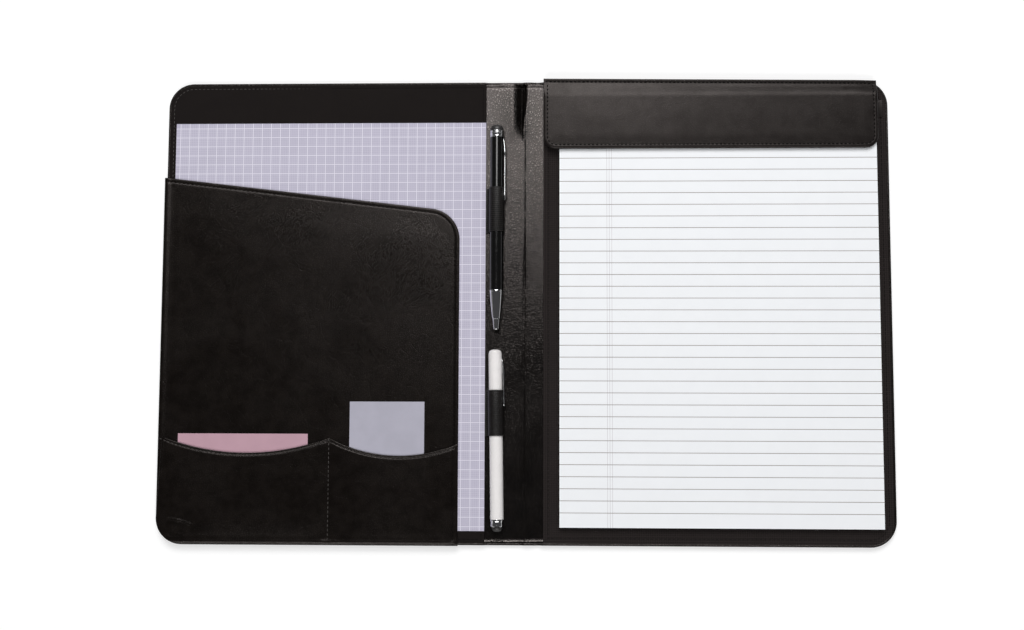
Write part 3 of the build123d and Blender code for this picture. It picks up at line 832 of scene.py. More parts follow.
def coverRun(side, inset=0.0):
    # Run along the three outer edges of a cover, from the foot of the spine to its head.
    edge = coverEdge
    outer = edge[side]
    corners = [(spineMiddle, edge["foot"], 0), (edge["right"], edge["foot"], edge["corner"]),
               (edge["right"], edge["head"], edge["corner"]), (spineMiddle, edge["head"], 0)]
    if side == "left":
        corners = [(spineMiddle, edge["head"], 0), (outer, edge["head"], edge["corner"]),
                   (outer, edge["foot"], edge["corner"]), (spineMiddle, edge["foot"], 0)]
    outline = roundedOutline(corners)
    last = next(i for i, p in enumerate(outline) if abs(p[0] - spineMiddle) < 1e-6 and i > 3)
    run = outline[:last + 1]
    return insetPath(run, inset) if inset else run


def coverOutline(side):
    run = coverRun(side)
    foot, head = coverEdge["foot"], coverEdge["head"]
    ends = densified([run[-1], run[0]], 4.0)[1:-1]
    return run + [p for p in ends if foot + 3.2 < p[1] < head - 3.2]


def lipHeight(x):
    # The turned edge is as high as the covers, and lower along the spine between them.
    share = ease(x, -27.5, -24.5) * (1 - ease(x, 10.5, 13.2))
    fold = coverSkin["spineLip"] + coverSkin["foldLip"] * ease(x, -1.5, 0.5) * (1 - ease(x, 5.5, 8.0))
    return coverSkin["lipHeight"] + (fold - coverSkin["lipHeight"]) * share


def skinRings(x, y, nx, ny):
    # Section of the turned edge, from the floor inside it over the lip and down to the underside. The
    # cut end in the middle of the spine has as many points, straight down.
    top, width, floor = float(lipHeight(x)), coverSkin["lipWidth"], coverSkin["floor"]
    if nx == 0 and ny == 0:
        return [(0, "z", floor * (1 - k / 16)) for k in range(17)]
    return edgeRings(
        ("z", (2.6, floor), (0.75, floor), (0.72, 1.1), (0.72, top - 0.85), (0.95, top - 0.62),
         (width, top - 0.55), (width + 0.12, top - 0.30), (width - 0.2, top - 0.05), (0.75, top),
         (0.32, top - 0.10), (0.07, top - 0.38), (0, top - 0.8), (0, 0.85), (0.10, 0.42),
         (0.38, 0.11), (0.85, 0.02)), ("under", (2.6, 0.0)))


def makeCoverLeather(name, side):
    seam = coverRun(side, coverSkin["seamInset"])

    def under(x, y):
        return coverSkin["seamDepth"] * hump(distanceTo(x, y, seam), 0, 0.55)

    rows = [insetPath(seam, shift) for shift in (-0.5, 0.01, 0.5, 1.1)]
    panel(name, coverOutline(side), skinRings, levelAt(coverSkin["floor"]), under, "coverLeather",
          grid=(8.0, 8.0), cut=spineMiddle, underGrid=(2.5, 6.0), underRows=rows)


makeCoverLeather("leftCoverLeather", "left")
makeCoverLeather("rightCoverLeather", "right")

spineLeather = {"left": -26.85, "right": 14.4, "head": 157.9, "top": 2.1, "under": 1.4,
                "lowest": 1.47, "valley": -1.3, "valleyLeft": 6.3, "valleyRight": 0.9,
                "valleyWider": 3.2, "valleyDepth": 1.30, "valleyEnd": (112.0, 134.0),
                "hem": 155.7, "hemHeight": 0.30}
creases = {  # runs of (y, x), depth, y where it starts and where it is full
    "long": (((158, 0.7), (100, 0.65), (20, 0.8)), 0.13, (5, 40)),
    "lowLeft": (((60, 0.6), (-45, -0.5), (-93, -2.1), (-141, -1.1), (-158, -1.5)), 0.20, (60, 20)),
    "lowRight": (((60, 0.9), (-45, 0.4), (-86, 1.1), (-120, 0.4), (-158, 3.2)), 0.24, (60, 20)),
}


def creasePath(name, y):
    run = creases[name][0][::-1]
    path = np.interp(y, [p[0] for p in run], [p[1] for p in run])
    return path + 0.28 * np.array([noise.noise(Vector((v / 9, len(name), 0))) for v in y])


def valleyShare(x, y):
    # 1 along the bottom of the pressed valley, and 0 at its sides and below its end.
    across = x - spineLeather["valley"]
    right = spineLeather["valleyRight"] + spineLeather["valleyWider"] * ease(y, 124, 154)
    slope = np.where(across < 0, -across / spineLeather["valleyLeft"], across / right)
    return ease(y, *spineLeather["valleyEnd"]) * np.clip(1 - slope, 0, 1)


def spineTop(x, y):
    # Inner leather of the spine: a pressed valley at the head, a long crease, and two fine ones below.
    parts = spineLeather
    deep = ease(y, *parts["valleyEnd"])
    z = (parts["top"] + 0.62 * deep * hump(x - parts["valley"], -2.0, 10.0)
         - parts["valleyDepth"] * valleyShare(x, y))
    for name, (_, depth, (start, full)) in creases.items():
        path = creasePath(name, y)
        shown = ease(y, start, full) if full > start else 1 - ease(y, full, start)
        z = z - depth * hump(x, path, 0.42) * shown + 0.45 * depth * hump(x, path + 1.0, 0.7) * shown
    z = z + 0.035 * ripple(x, y, 12, 2.0, 2.5) + 0.012 * ripple(x, y, 4, 4.0, 1.2)
    hem = parts["hem"] + 0.35 * ripple(x, np.sign(y) * 40, 7, 6.0)
    z = z + parts["hemHeight"] * ease(np.abs(y), hem - 0.25, hem + 0.25)
    z = z - 0.20 * hump(np.abs(y), hem - 0.6, 0.4)
    return np.maximum(z, parts["lowest"])


def makeInnerLeather(name, start, end):
    parts = spineLeather
    outline = boxOutline((start, -parts["head"], end, parts["head"]), (0, 0, 0, 0), 1.6)

    def under(x, y):
        return np.minimum(spineTop(x, y) - 0.25, parts["under"])

    def rings(x, y, nx, ny):
        if nx == 0 and ny == 0:
            return [(0, "top", 0), (0, "under", 0.2), (0, "under", 0)]
        return [(0.12, "top", 0), (0, "under", 0.2), (0, "under", 0)]

    hems = [densified([(start + 0.4, side * y), (end - 0.4, side * y)], 0.8)
            for side in (-1, 1) for y in (154.2, 154.7, 155.1, 155.4, 155.7, 156.0, 156.4, 157.1)]
    made = panel(name, outline, rings, spineTop, under, "innerLeather", grid=(0.6, 1.7), rows=hems,
                 cut=spineMiddle, underGrid=(1.5, 20.0))
    flat = np.array([v.co for v in made.data.vertices]) / mm
    # Marks the valley for its painted shade, a loss of gloss in the material.
    paintedValleyShade = ease(valleyShare(flat[:, 0], flat[:, 1]), 0.0, 0.5)
    made.data.attributes.new("paintedValleyShade", "FLOAT", "POINT").data.foreach_set("value", paintedValleyShade)


makeInnerLeather("leftInnerLeather", spineLeather["left"], spineMiddle)
makeInnerLeather("rightInnerLeather", spineMiddle, spineLeather["right"])
print("covers and spine made")


# Linings

linings = {
    "left": {"box": (-246.2, -157.2, -26.0, 157.2), "seam": 2.3, "fabric": "leftLiningFabric"},
    "right": {"box": (13.5, -157.2, 247.7, 157.2), "seam": 3.4, "fabric": "rightLiningFabric"},
}
liningHeight = {"top": 3.6, "under": 3.21, "corner": 16.0}


def liningRun(side, inset):
    left, foot, right, head = linings[side]["box"]
    outer, inner = max(0, liningHeight["corner"] - inset), 0
    radii = (outer, inner, inner, outer) if side == "left" else (inner, outer, outer, inner)
    return boxOutline((left + inset, foot + inset, right - inset, head - inset), radii)


def liningTop(side):
    run = liningRun(side, linings[side]["seam"])
    closed = run + run[:1]

    def top(x, y):
        away = distanceTo(x, y, closed)
        return liningHeight["top"] - 0.20 * hump(away, 0, 0.45) + 0.03 * ripple(x, y, 30, 1.0)
    return top


def makeLining(name, side):
    seam = linings[side]["seam"]
    rings = withRows(rolledEdge(0.18, 3),
                     (0.6, 1.2, *(seam + shift for shift in (-0.7, -0.3, 0.0, 0.3, 0.8, 2.0))))
    return panel(name, liningRun(side, 0), rings, liningTop(side), levelAt(liningHeight["under"]),
                 linings[side]["fabric"], grid=(6.0, 6.0), underGrid=(20.0, 20.0))


leftLining = makeLining("leftLining", "left")
rightLining = makeLining("rightLining", "right")


def liningStitches(name, side, seed):
    run = liningRun(side, linings[side]["seam"])
    stitchRows(name, [onSurface(run + run[:1], liningTop(side), 0.02)], pitch=2.9, length=2.1,
               radius=0.22, seed=seed)


liningStitches("leftLiningStitches", "left", 3)
liningStitches("rightLiningStitches", "right", 4)


def coverStitches(name, side, seed):
    run = [(x, y, 0.26) for x, y in coverRun(side, coverSkin["seamInset"])]
    keep = [p for p in run if (p[0] < -27.5 if side == "left" else p[0] > 14.5)]
    stitchRows(name, [keep], pitch=2.9, length=2.1, radius=0.22, seed=seed)


coverStitches("leftCoverStitches", "left", 5)
coverStitches("rightCoverStitches", "right", 6)
print("linings made")


# Document pocket

documentPocket = {
    "left": -249.25, "foot": -159.25, "right": -44.0, "mouthLeft": 92.3, "mouthRight": 67.8,
    "corner": 21.5, "footCorner": 18.0, "under": 4.12, "top": 4.9, "seam": 2.95, "wrapFoot": 0.5,
    "puff": 0.42,
}


def documentOutline(inset=0.0):
    part = documentPocket
    slope = (part["mouthRight"] - part["mouthLeft"]) / (part["right"] - part["left"])
    drop = inset * math.sqrt(1 + slope * slope)
    left, right, foot = part["left"] + inset, part["right"] - inset, part["foot"] + inset
    return roundedOutline([
        (left, foot, part["footCorner"] - inset), (right, foot, 0),
        (right, part["mouthLeft"] + slope * (right - part["left"]) - drop, part["corner"] - inset),
        (left, part["mouthLeft"] + slope * inset - drop, 0)], 1.8)


def openRun(outline, starts, ends):
    # The part of a closed outline between the first point that passes starts and the last before ends.
    first = next(i for i, p in enumerate(outline) if starts(*p))
    turned = outline[first:] + outline[:first]
    last = next(i for i, p in enumerate(turned) if ends(*p))
    return turned[:last + 1]


def documentFree(inset):
    # Foot of the right edge, up and round the corner, then along the mouth to the left edge.
    outline = documentOutline(inset)
    part = documentPocket
    return openRun(outline, lambda x, y: x > part["right"] - inset - 1e-4 and y > part["foot"] + 1,
                   lambda x, y: x < part["left"] + inset + 1e-4)


def documentTop(x, y):
    part = documentPocket
    away = distanceTo(x, y, documentFree(0.0))
    left = x - part["left"]
    loose = ease(y, 2, 45)
    z = part["top"] + 0.16 * hump(away, 1.3, 0.9) - 0.24 * hump(away, part["seam"], 0.42)
    z = z + part["puff"] * ease(away, 3.2, 26) * ease(left, 3, 34) * loose
    z = z + loose * (0.10 * ripple(x, y, 62, 3.0) + 0.06 * ripple(x, y, 24, 5.0)) * ease(away, 3, 14)
    welt = ease(y, -92, -84)
    return z + 0.28 * hump(left, 2.2, 1.6) * welt - 0.22 * hump(left, 5.0, 1.1) * welt


def wrapOf(nx):
    # How far the pocket's edge stands out from its cover: 1.5 at the left, 0.5 at the foot.
    return 0.5 + 1.0 * min(1.0, nx * nx)


def documentRings(x, y, nx, ny):
    part = documentPocket
    rows = topRows(5.2, 4.0, 3.5, 3.15, 2.95, 2.75, 2.4, 1.8)
    if nx < -0.3 or ny < -0.3:
        wrap, low = wrapOf(nx), part["wrapFoot"]
        return rows + edgeRings(
            ("top", (1.25, 0), (0.62, -0.12), (0.22, -0.42), (0.0, -1.0)),
            ("z", (0, 2.2), (0, low + 0.3), (0.15, low), (wrap - 0.05, low), (wrap, 3.5)),
            ("under", (wrap + 0.4, 0.0)))
    return rows + edgeRings(("top", (1.0, 0), (0.45, 0), (0.22, -0.05), (0.08, -0.16), (0, -0.36)),
                            ("under", (0, 0.36), (0.08, 0.16), (0.2, 0.05), (0.5, 0), (1.0, 0)))


def documentUnder(x, y):
    part = documentPocket
    sewn = np.maximum(1 - ease(x - part["left"], 3.5, 6.5), 1 - ease(y - part["foot"], 3.5, 6.5))
    return part["under"] - 0.5 * sewn


panel("documentPocket", documentOutline(), documentRings, documentTop, documentUnder, "pocketLeather",
      grid=(3.4, 3.4), sharp=60)
seamRun = documentFree(documentPocket["seam"])
seamRun = [p for p in seamRun if p[0] > documentPocket["left"] + 2.75]
stitchRows("documentPocketStitches", [onSurface(seamRun, documentTop, 0.05)], length=2.35, radius=0.25,
           slant=14, seed=7)


# Card pocket

cardPocket = {
    "left": -249.0, "foot": -159.0, "right": -44.25, "divider": -131.75, "corner": 17.75,
    "mouths": ((-249.0, -85.3), (-190.4, -97.3), (-131.75, -87.0), (-88.0, -98.9), (-44.25, -90.7)),
    "under": 5.48, "top": 5.95, "puff": (1.05, 0.45), "seam": 1.9, "rightSeam": 2.95, "floor": 4.92,
}


def arcThrough(a, b, c, count=40):
    # Points on the circle through three points, from a to c.
    (ax, ay), (bx, by), (cx, cy) = a, b, c
    d = 2 * (ax * (by - cy) + bx * (cy - ay) + cx * (ay - by))
    ux = ((ax * ax + ay * ay) * (by - cy) + (bx * bx + by * by) * (cy - ay)
          + (cx * cx + cy * cy) * (ay - by)) / d
    uy = ((ax * ax + ay * ay) * (cx - bx) + (bx * bx + by * by) * (ax - cx)
          + (cx * cx + cy * cy) * (bx - ax)) / d
    start, end = math.atan2(ay - uy, ax - ux), math.atan2(cy - uy, cx - ux)
    radius = math.hypot(ax - ux, ay - uy)
    return [(ux + radius * math.cos(start + (end - start) * k / count),
             uy + radius * math.sin(start + (end - start) * k / count)) for k in range(count + 1)]


mouthPoints = cardPocket["mouths"]
leftMouth = arcThrough(*mouthPoints[0:3])
rightMouth = arcThrough(*mouthPoints[2:5])
cardMouth = leftMouth + rightMouth[1:]


def cardOutline():
    part = cardPocket
    leftEnd, rightEnd = mouthPoints[0][1], mouthPoints[4][1]
    corner = roundedOutline([(part["left"], part["foot"], part["corner"]),
                             (part["right"], part["foot"], 0), (part["right"], rightEnd, 0),
                             (part["left"], leftEnd, 0)], 1.8)
    side = openRun(corner, lambda x, y: abs(x - part["left"]) < 1e-6,
                   lambda x, y: x > part["right"] - 1e-6 and y > rightEnd - 1e-6)
    return side[:-1] + cardMouth[::-1][:-1]


wrinkle = [(-239.5, -141.8), (-235.0, -142.6), (-230.5, -143.4), (-225.0, -145.6)]
lowWrinkle = [(-243.0, -147.0), (-239.0, -148.6), (-234.0, -149.2)]


def cardTop(x, y):
    part = cardPocket
    left, foot, right = x - part["left"], y - part["foot"], part["right"] - x
    sewn = np.minimum(np.minimum(left, right), foot)
    divider = np.abs(x - part["divider"])
    mouth = distanceTo(x, y, cardMouth)
    inLeft = x < part["divider"]
    puff = np.where(inLeft, *part["puff"])
    swell = ease(sewn, 2.0, np.where(inLeft, 17, 12)) * ease(divider, 0.6, 16)
    z = part["top"] - 0.35 * (1 - ease(np.minimum(sewn, divider), 0.4, 5.0)) + puff * swell * (
        0.45 + 0.55 * ease(mouth, 0, 24))
    z = z - 0.25 * hump(mouth, part["seam"], 0.4) + 0.12 * hump(mouth, 0.9, 0.6)
    z = z - 0.20 * hump(divider, 0, 0.55) - 0.22 * hump(right, part["rightSeam"], 0.45)
    z = z + 0.30 * hump(foot, 2.3, 1.2) - 0.18 * hump(foot, 4.4, 0.9)
    away = distanceTo(x, y, wrinkle)
    z = z - 0.42 * hump(away, 0, 0.9) + 0.22 * hump(distanceTo(x, y - 1.7, wrinkle), 0, 1.2)
    z = z - 0.22 * hump(distanceTo(x, y, lowWrinkle), 0, 1.0)
    ripples = 0.10 * ripple(x, y, 26, 8.0) + 0.06 * ripple(x, y, 9, 9.0)
    return z + ripples * ease(sewn, 3, 14) * ease(divider, 2, 10)


def cardUnder(x, y):
    part = cardPocket
    left, foot, right = x - part["left"], y - part["foot"], part["right"] - x
    sewn = np.minimum(np.minimum(np.minimum(left, right), foot), np.abs(x - part["divider"]) + 3.2)
    return part["floor"] + (part["under"] - part["floor"]) * ease(sewn, 3.6, 5.2)


def cardRings(x, y, nx, ny):
    rows = topRows(4.6, 3.6, 2.9, 2.4, 2.1, 1.9, 1.7, 1.4)
    if nx < -0.3 or ny < -0.3:
        return rows + edgeRings(("top", (1.0, -0.02), (0.5, -0.12), (0.18, -0.33), (0, -0.7)),
                                ("z", (0, 4.5), (0.3, 4.3), (0.7, 4.4)), ("under", (1.3, 0)))
    return rows + edgeRings(("top", (0.9, 0), (0.4, 0), (0.15, -0.07), (0, -0.24)),
                            ("under", (0, 0.2), (0.15, 0.05), (0.4, 0), (1.3, 0)))


dividerRows = [densified([(cardPocket["divider"] + s, y) for y in (-89.5, -157.5)], 1.6)
               for s in (-2.2, -1.3, -0.7, 0.0, 0.7, 1.3, 2.2)]
wrinkleRows = [insetPath(wrinkle, s, 0.9) for s in (-2.0, -1.3, -0.7, 0.0, 0.7, 1.3, 2.0)]
panel("cardPocket", cardOutline(), cardRings, cardTop, cardUnder, "pocketLeather", grid=(2.2, 2.2),
      rows=dividerRows + wrinkleRows, underGrid=(4.0, 8.0), sharp=60)


def cardRow(path):
    return onSurface(path, cardTop, 0.05)


def cardSide(x, head):
    # A seam down the pocket to just above its foot.
    return cardRow([(x, head), (x, cardPocket["foot"] + 1.0)])


stitchRows("cardPocketStitches",
           [cardRow(insetPath(leftMouth, -cardPocket["seam"])[3:-2]),
            cardRow(insetPath(rightMouth, -cardPocket["seam"])[3:-4]),
            cardSide(cardPocket["right"] - cardPocket["rightSeam"], -93.5)],
           pitch=2.9, length=2.2, radius=0.24, seed=8)
stitchRows("dividerStitches", [cardSide(cardPocket["divider"], -88.5)], pitch=2.9, length=2.1,
           radius=0.26, seed=10, thread="dividerThread")
print("pockets made")


# Sheets, cards and the pad

squaredSheet = {"box": (-242.0, -149.2, -26.1, 130.2), "height": 3.72, "thickness": 0.16}


def squaredTop(x, y):
    lifted = 0.22 * ease(y, 95, 130) * (0.5 + 0.5 * np.cos((x + 134) / 34.0))
    return squaredSheet["height"] + squaredSheet["thickness"] + lifted + 0.03 * ripple(x, y, 60, 11.0)


def thinSheet(name, box, top, thickness, material, grid=(6.0, 6.0)):
    rings = [(0, "top", 0), (0, "under", 0)]
    panel(name, boxOutline(box, (0, 0, 0, 0), min(grid)), lambda *place: rings, top,
          lambda x, y: top(x, y) - thickness, material, grid=grid, underGrid=grid, sharp=30)


thinSheet("squaredSheet", squaredSheet["box"], squaredTop, squaredSheet["thickness"], "squaredPaper")

cards = {
    "pinkCard": {"box": (-235.1, -135.2, -146.2, -84.4), "material": "pinkPaper", "bow": 0.10},
    "greyCard": {"box": (-117.8, -151.4, -67.0, -62.5), "material": "greyPaper", "bow": 0.06},
}
cardHeight = {"under": 5.02, "thickness": 0.34}


def makeCard(name):
    part = cards[name]
    left, _, right, _ = part["box"]

    def top(x, y):
        across = (x - (left + right) / 2) / (right - left) * 2
        return cardHeight["under"] + cardHeight["thickness"] + part["bow"] * across ** 2 * 0.5

    thinSheet(name, part["box"], top, cardHeight["thickness"], part["material"], (4.0, 4.0))


makeCard("pinkCard")
makeCard("greyCard")

pad = {"box": (24.5, -146.4, 240.4, 148.9), "backing": (3.71, 4.2), "corner": 0.8,
       "stack": (4.2, 7.02), "sheets": 26, "sheetShare": 0.86, "trim": 0.3, "shift": 0.16,
       "top": 7.16, "topSheet": 0.12}


def makeStackTree():
    tree, given, out = newGroup(
        "sheetStack", {"Geometry": "Geometry", "Width": 0.2, "Height": 0.3, "Thickness": 0.0001,
                       "Shift": 0.0001, "Seed": 1, "Paper": "Material"},
        ("Geometry",), "GeometryNodeTree")
    points = read(tree, "GeometryNodeMeshToPoints", None, {"Mesh": given["Geometry"]})
    offset = combined(tree, **{axis: randomValue(tree, given["Shift"] * -1.0, given["Shift"], seed)
                               for axis, seed in (("X", given["Seed"]), ("Y", given["Seed"] + 1.0))})
    moved = read(tree, "GeometryNodeSetPosition", None, {"Geometry": points, "Offset": offset})
    size = combined(tree, X=given["Width"], Y=given["Height"], Z=given["Thickness"])
    sheet = read(tree, "GeometryNodeMeshCube", None, {"Size": size})
    placed = read(tree, "GeometryNodeInstanceOnPoints", None, {"Points": moved, "Instance": sheet})
    return endTree(out, placed, given["Paper"], smooth=False)


def makePad():
    left, foot, right, head = pad["box"]
    low, high = pad["stack"]
    step = (high - low) / pad["sheets"]
    middle = ((left + right) / 2, (foot + head) / 2)
    runTree("padSheets", makeStackTree(),
            [(*middle, low + step * (k + 0.5)) for k in range(pad["sheets"])], [],
            {"Width": (right - left - pad["trim"]) * mm, "Height": (head - foot - pad["trim"]) * mm,
             "Thickness": step * pad["sheetShare"] * mm, "Shift": pad["shift"] * mm, "Seed": 21,
             "Paper": materials["sheetEdges"]})

    def top(x, y):
        wave = 0.10 * ripple(x, y, 90, 13.0) + 0.10 * ease(y, -110, -146) * ripple(x, y, 30, 14.0)
        return pad["top"] + wave * ease(y, 125, 100)

    thinSheet("padTopSheet", pad["box"], top, pad["topSheet"], "ruledPaper", (5.0, 5.0))
    lower, upper = pad["backing"]
    panel("padBacking", boxOutline(pad["box"], (pad["corner"],) * 4, 6.0), rolledEdge(0.12, 2),
          levelAt(upper), levelAt(lower), "padBacking", grid=(30.0, 30.0), underGrid=(30.0, 30.0))


makePad()


def sweep(name, path, section, side, material, sharp=40.0, sizes=None):
    # Closed band: section is a ring of (side, normal) offsets carried along path, in mm.
    points, faces, count = [], [], len(section)
    path = [Vector(p) for p in path]
    side = Vector(side).normalized()
    for k, p in enumerate(path):
        forward = (path[min(k + 1, len(path) - 1)] - path[max(k - 1, 0)]).normalized()
        normal = side.cross(forward).normalized()
        scale = sizes[k] if sizes else (1, 1)
        points += [p + side * a * scale[0] + normal * b * scale[1] for a, b in section]
    for k in range(len(path) - 1):
        for i in range(count):
            j = (i + 1) % count
            faces.append((k * count + i, k * count + j, (k + 1) * count + j, (k + 1) * count + i))
    faces.append(tuple(range(count))[::-1])
    faces.append(tuple((len(path) - 1) * count + i for i in range(count)))
    fixNormals(makePiece(name, points, faces, material, sharp))


def fixNormals(obj):
    work = bmesh.new()
    work.from_mesh(obj.data)
    bmesh.ops.recalc_face_normals(work, faces=work.faces)
    work.to_mesh(obj.data)
    work.free()


def roundedSection(width, height, radius, steps=3):
    # Ring of (side, normal) offsets of a rectangle with round corners.
    ring = []
    for cx, cy, start in ((1, 1, 0), (-1, 1, 90), (-1, -1, 180), (1, -1, 270)):
        for k in range(steps + 1):
            angle = math.radians(start + 90 * k / steps)
            ring.append((cx * (width / 2 - radius) + radius * math.cos(angle),
                         cy * (height / 2 - radius) + radius * math.sin(angle)))
    return ring


def smoothRun(points, rounds=3):
    # Cuts the corners of a run of 3D points a few times.
    points = [Vector(p) for p in points]
    for _ in range(rounds):
        made = [points[0]]
        for a, b in zip(points, points[1:]):
            made += [a.lerp(b, 0.25), a.lerp(b, 0.75)]
        points = made + [points[-1]]
    return points


tape = {"x": 132.5, "width": 215.9, "thickness": 0.14, "round": 0.06,  # run in (y, z)
        "run": ((134.9, 7.27), (148.6, 7.27), (149.0, 7.1), (149.0, 3.9))}
strap = {"y": 138.9, "width": 12.0, "thickness": 0.62, "round": 0.25,  # run in (x, z)
         "run": ((15.9, 3.98), (22.3, 3.98), (23.5, 4.3), (23.6, 7.2), (24.4, 7.86), (60, 7.88),
                 (132, 7.9), (204, 7.88), (240.5, 7.86), (241.3, 7.2), (241.4, 4.3), (242.2, 3.98),
                 (245.4, 3.98))}


def makeBand(name, band, points, side, material, steps):
    section = roundedSection(band["width"], band["thickness"], band["round"], steps)
    sweep(name, smoothRun(points, 2), section, side, material)


makeBand("padTape", tape, [(tape["x"], y, z) for y, z in tape["run"]], (1, 0, 0), "bindingTape", 1)
makeBand("padStrap", strap, [(x, strap["y"], z) for x, z in strap["run"]], (0, 1, 0), "flapLeather", 2)
print("papers and pad made")


# Flap over the head of the pad, with its root sewn to the head edge

flap = {"left": 13.5, "right": 241.3, "foot": 110.6, "fold": 149.5, "head": 159.25, "corner": 8.5,
        "top": 9.95, "under": 8.3, "rootUnder": 3.62, "edgeTop": (8.0, 6.6), "slant": (0.95, -0.95),
        "fall": (146.4, 157.6), "stitch": 2.75, "rootStitch": 156.9, "leather": 1.3, "puff": 0.34,
        "rim": (0.8, 0.75, 0.35)}


def alongFlap(x, values):
    share = (x - flap["left"]) / (flap["right"] - flap["left"])
    return values[0] + (values[1] - values[0]) * share


def flapOutline(inset=0.0):
    part = flap
    return roundedOutline([(part["left"] + inset, part["foot"] + inset, part["corner"] - inset),
                           (part["right"] - inset, part["foot"] + inset, part["corner"] - inset),
                           (part["right"] - inset, part["head"] + part["slant"][1], 0),
                           (part["left"] + inset, part["head"] + part["slant"][0], 0)], 1.4)


def flapFree(inset):
    # From the head of the left edge, down, round both corners and up to the head of the right edge.
    left, right, head = flap["left"] + inset + 1e-4, flap["right"] - inset - 1e-4, flap["head"]
    return openRun(flapOutline(inset), lambda x, y: x < left and head - 3.0 < y < head - 0.6,
                   lambda x, y: x > right and y > head - 1.4)


def rootFall(y):
    # Falls gently to the seam at the head, and is 1 on the flap and 0 at the seam.
    return 1 - ease(y, *flap["fall"])


def flapTop(x, y):
    part = flap
    away = distanceTo(x, y, flapFree(0.0))
    onFlap = 1 - ease(y, 147.5, 150.5)
    high = part["top"] - 0.5 * (1 - ease(away, 0, 1.6)) * onFlap
    high = high + 0.12 * hump(away, 1.5, 0.7) - 0.05 * hump(away, part["stitch"], 0.55)
    inside = ease(away, part["stitch"] + 0.3, part["stitch"] + 7)
    swell = part["puff"] * inside * (1 - ease(y, 132, 150))
    swell = swell - 0.06 * hump(x, 30.0, 1.6) * ease(y, 118, 124) * onFlap
    high = high + swell + (0.06 * ripple(x, y, 40, 15.0) + 0.04 * ripple(x, y, 12, 16.0)) * inside
    y = y - alongFlap(x, part["slant"]) * ease(y, part["fold"], part["rootStitch"])
    fall = rootFall(y)
    root = alongFlap(x, part["edgeTop"]) - 0.30 * hump(y, part["rootStitch"], 0.5)
    root = root - 0.9 * ease(x, 226, part["right"])
    root = root + 0.10 * hump(y, 158.3, 0.6) + 0.05 * ripple(x, y, 16, 17.0) * (1 - ease(y, 156, 157))
    return root + (high - root) * fall


def flapUnder(x, y):
    part = flap
    leather = flapTop(x, y) - part["leather"]
    low = part["under"] + (leather - part["under"]) * ease(y, 146.6, 148.2)
    return low + (part["rootUnder"] - low) * ease(y, 153.2, 157.0)


def flapRings(x, y, nx, ny):
    if ny > 0.3:
        rows = topRows(3.3, 3.0, 2.75, 2.55, 2.35, 2.1, 1.7, 1.3)
        return rows + edgeRings(
            ("top", (0.9, 0), (0.45, -0.10), (0.12, -0.4), (0, -0.8)),
            ("z", (0, 1.1), (0.12, 0.85), (0.4, 0.85), (0.48, 1.1), (0.48, 3.5)), ("under", (0.9, 0)))
    full = 1 - float(ease(y, 149.0, 152.0))
    rim = rolledEdge(0.40 + 0.35 * full, first=0, shares=flap["rim"])
    return topRows(4.4, 3.6, 3.25, 2.95, 2.75, 2.55, 2.2, 1.7) + rim()


bendRows = [densified([(flap["left"] + 5, y), (flap["right"] - 5, y)], 3.0)
            for y in [145 + 0.6 * k for k in range(18)]]
flapLeather = panel("flapLeather", flapOutline(), flapRings, flapTop, flapUnder, "flapLeather",
                    grid=(2.4, 2.0), rows=bendRows, underGrid=(4.0, 1.2), sharp=60)
flapRun = [p for p in flapFree(flap["stitch"]) if p[1] < 154.8]
rootRun = [(x, flap["rootStitch"] + slant)
           for x, slant in zip((flap["left"] + 2.0, flap["right"] - 2.0), flap["slant"])]
flapStitches = stitchRows(
    "flapStitches", [onSurface(flapRun, flapTop, -0.06), onSurface(rootRun, flapTop, 0.04)],
    pitch=2.8, length=2.0, radius=0.50, seed=9)
backing = {"box": (15.0, 112.1, 239.8, 145.6), "corners": (7.0, 7.0, 1.5, 1.5), "top": 8.40,
           "under": 8.22}
flapBacking = panel("flapBacking", boxOutline(backing["box"], backing["corners"]), rolledEdge(0.12, 2),
                    levelAt(backing["top"]), levelAt(backing["under"]), "flapBackingFabric",
                    grid=(12.0, 12.0))
print("flap made")


# Pens

pens = {"x": -18.4, "z": 7.7, "black": (68.65, 0.0), "white": (-70.0, 0.85), "segments": 64,
        "clipTilt": 16.0, "clipWidth": 2.4, "clipOuter": 6.35, "clipThickness": 0.85}


def penPoint(pen, across, along, up):
    # Place of a point given from the pen's own middle: right of it, up its length and above it.
    middle, lean = pens[pen]
    c, s = math.cos(math.radians(lean)), math.sin(math.radians(lean))
    return Vector((pens["x"] + across * c - along * s, middle + across * s + along * c, pens["z"] + up))


def lathe(name, pen, profile, material, sharp=32.0):
    # Turned piece. Its profile is a closed anticlockwise ring of (radius, height).
    count = pens["segments"]
    points, rings, faces = [], [], []
    for radius, height in profile:
        if radius < 1e-6:
            rings.append([len(points)])
            points.append(penPoint(pen, 0, height, 0))
            continue
        rings.append(list(range(len(points), len(points) + count)))
        for k in range(count):
            angle = 2 * math.pi * k / count
            points.append(penPoint(pen, radius * math.cos(angle), height, radius * math.sin(angle)))
    for a, b in zip(rings, rings[1:] + rings[:1]):
        for k in range(count):
            j = (k + 1) % count
            corners = (a[k % len(a)], b[k % len(b)], b[j % len(b)], a[j % len(a)])
            faces.append(tuple(dict.fromkeys(corners)))
    faces = [face for face in faces if len(face) > 2]
    fixNormals(makePiece(name, points, faces, material, sharp))


def dome(base, height, radius, side, steps=10):
    # Rounded button: a straight side, then a quarter of a flattened round.
    made = [(radius, base), (radius, base + side)]
    for k in range(1, steps + 1):
        angle = math.pi / 2 * k / steps
        made.append((radius * math.cos(angle) ** 0.8 if k < steps else 0.0,
                     base + side + (height - side) * math.sin(angle)))
    return [(0, base)] + made


def tube(inner, outer, low, high, bevel=0.12):
    return [(inner, low), (outer - bevel, low), (outer, low + bevel), (outer, high - bevel),
            (outer - bevel, high), (inner, high)]


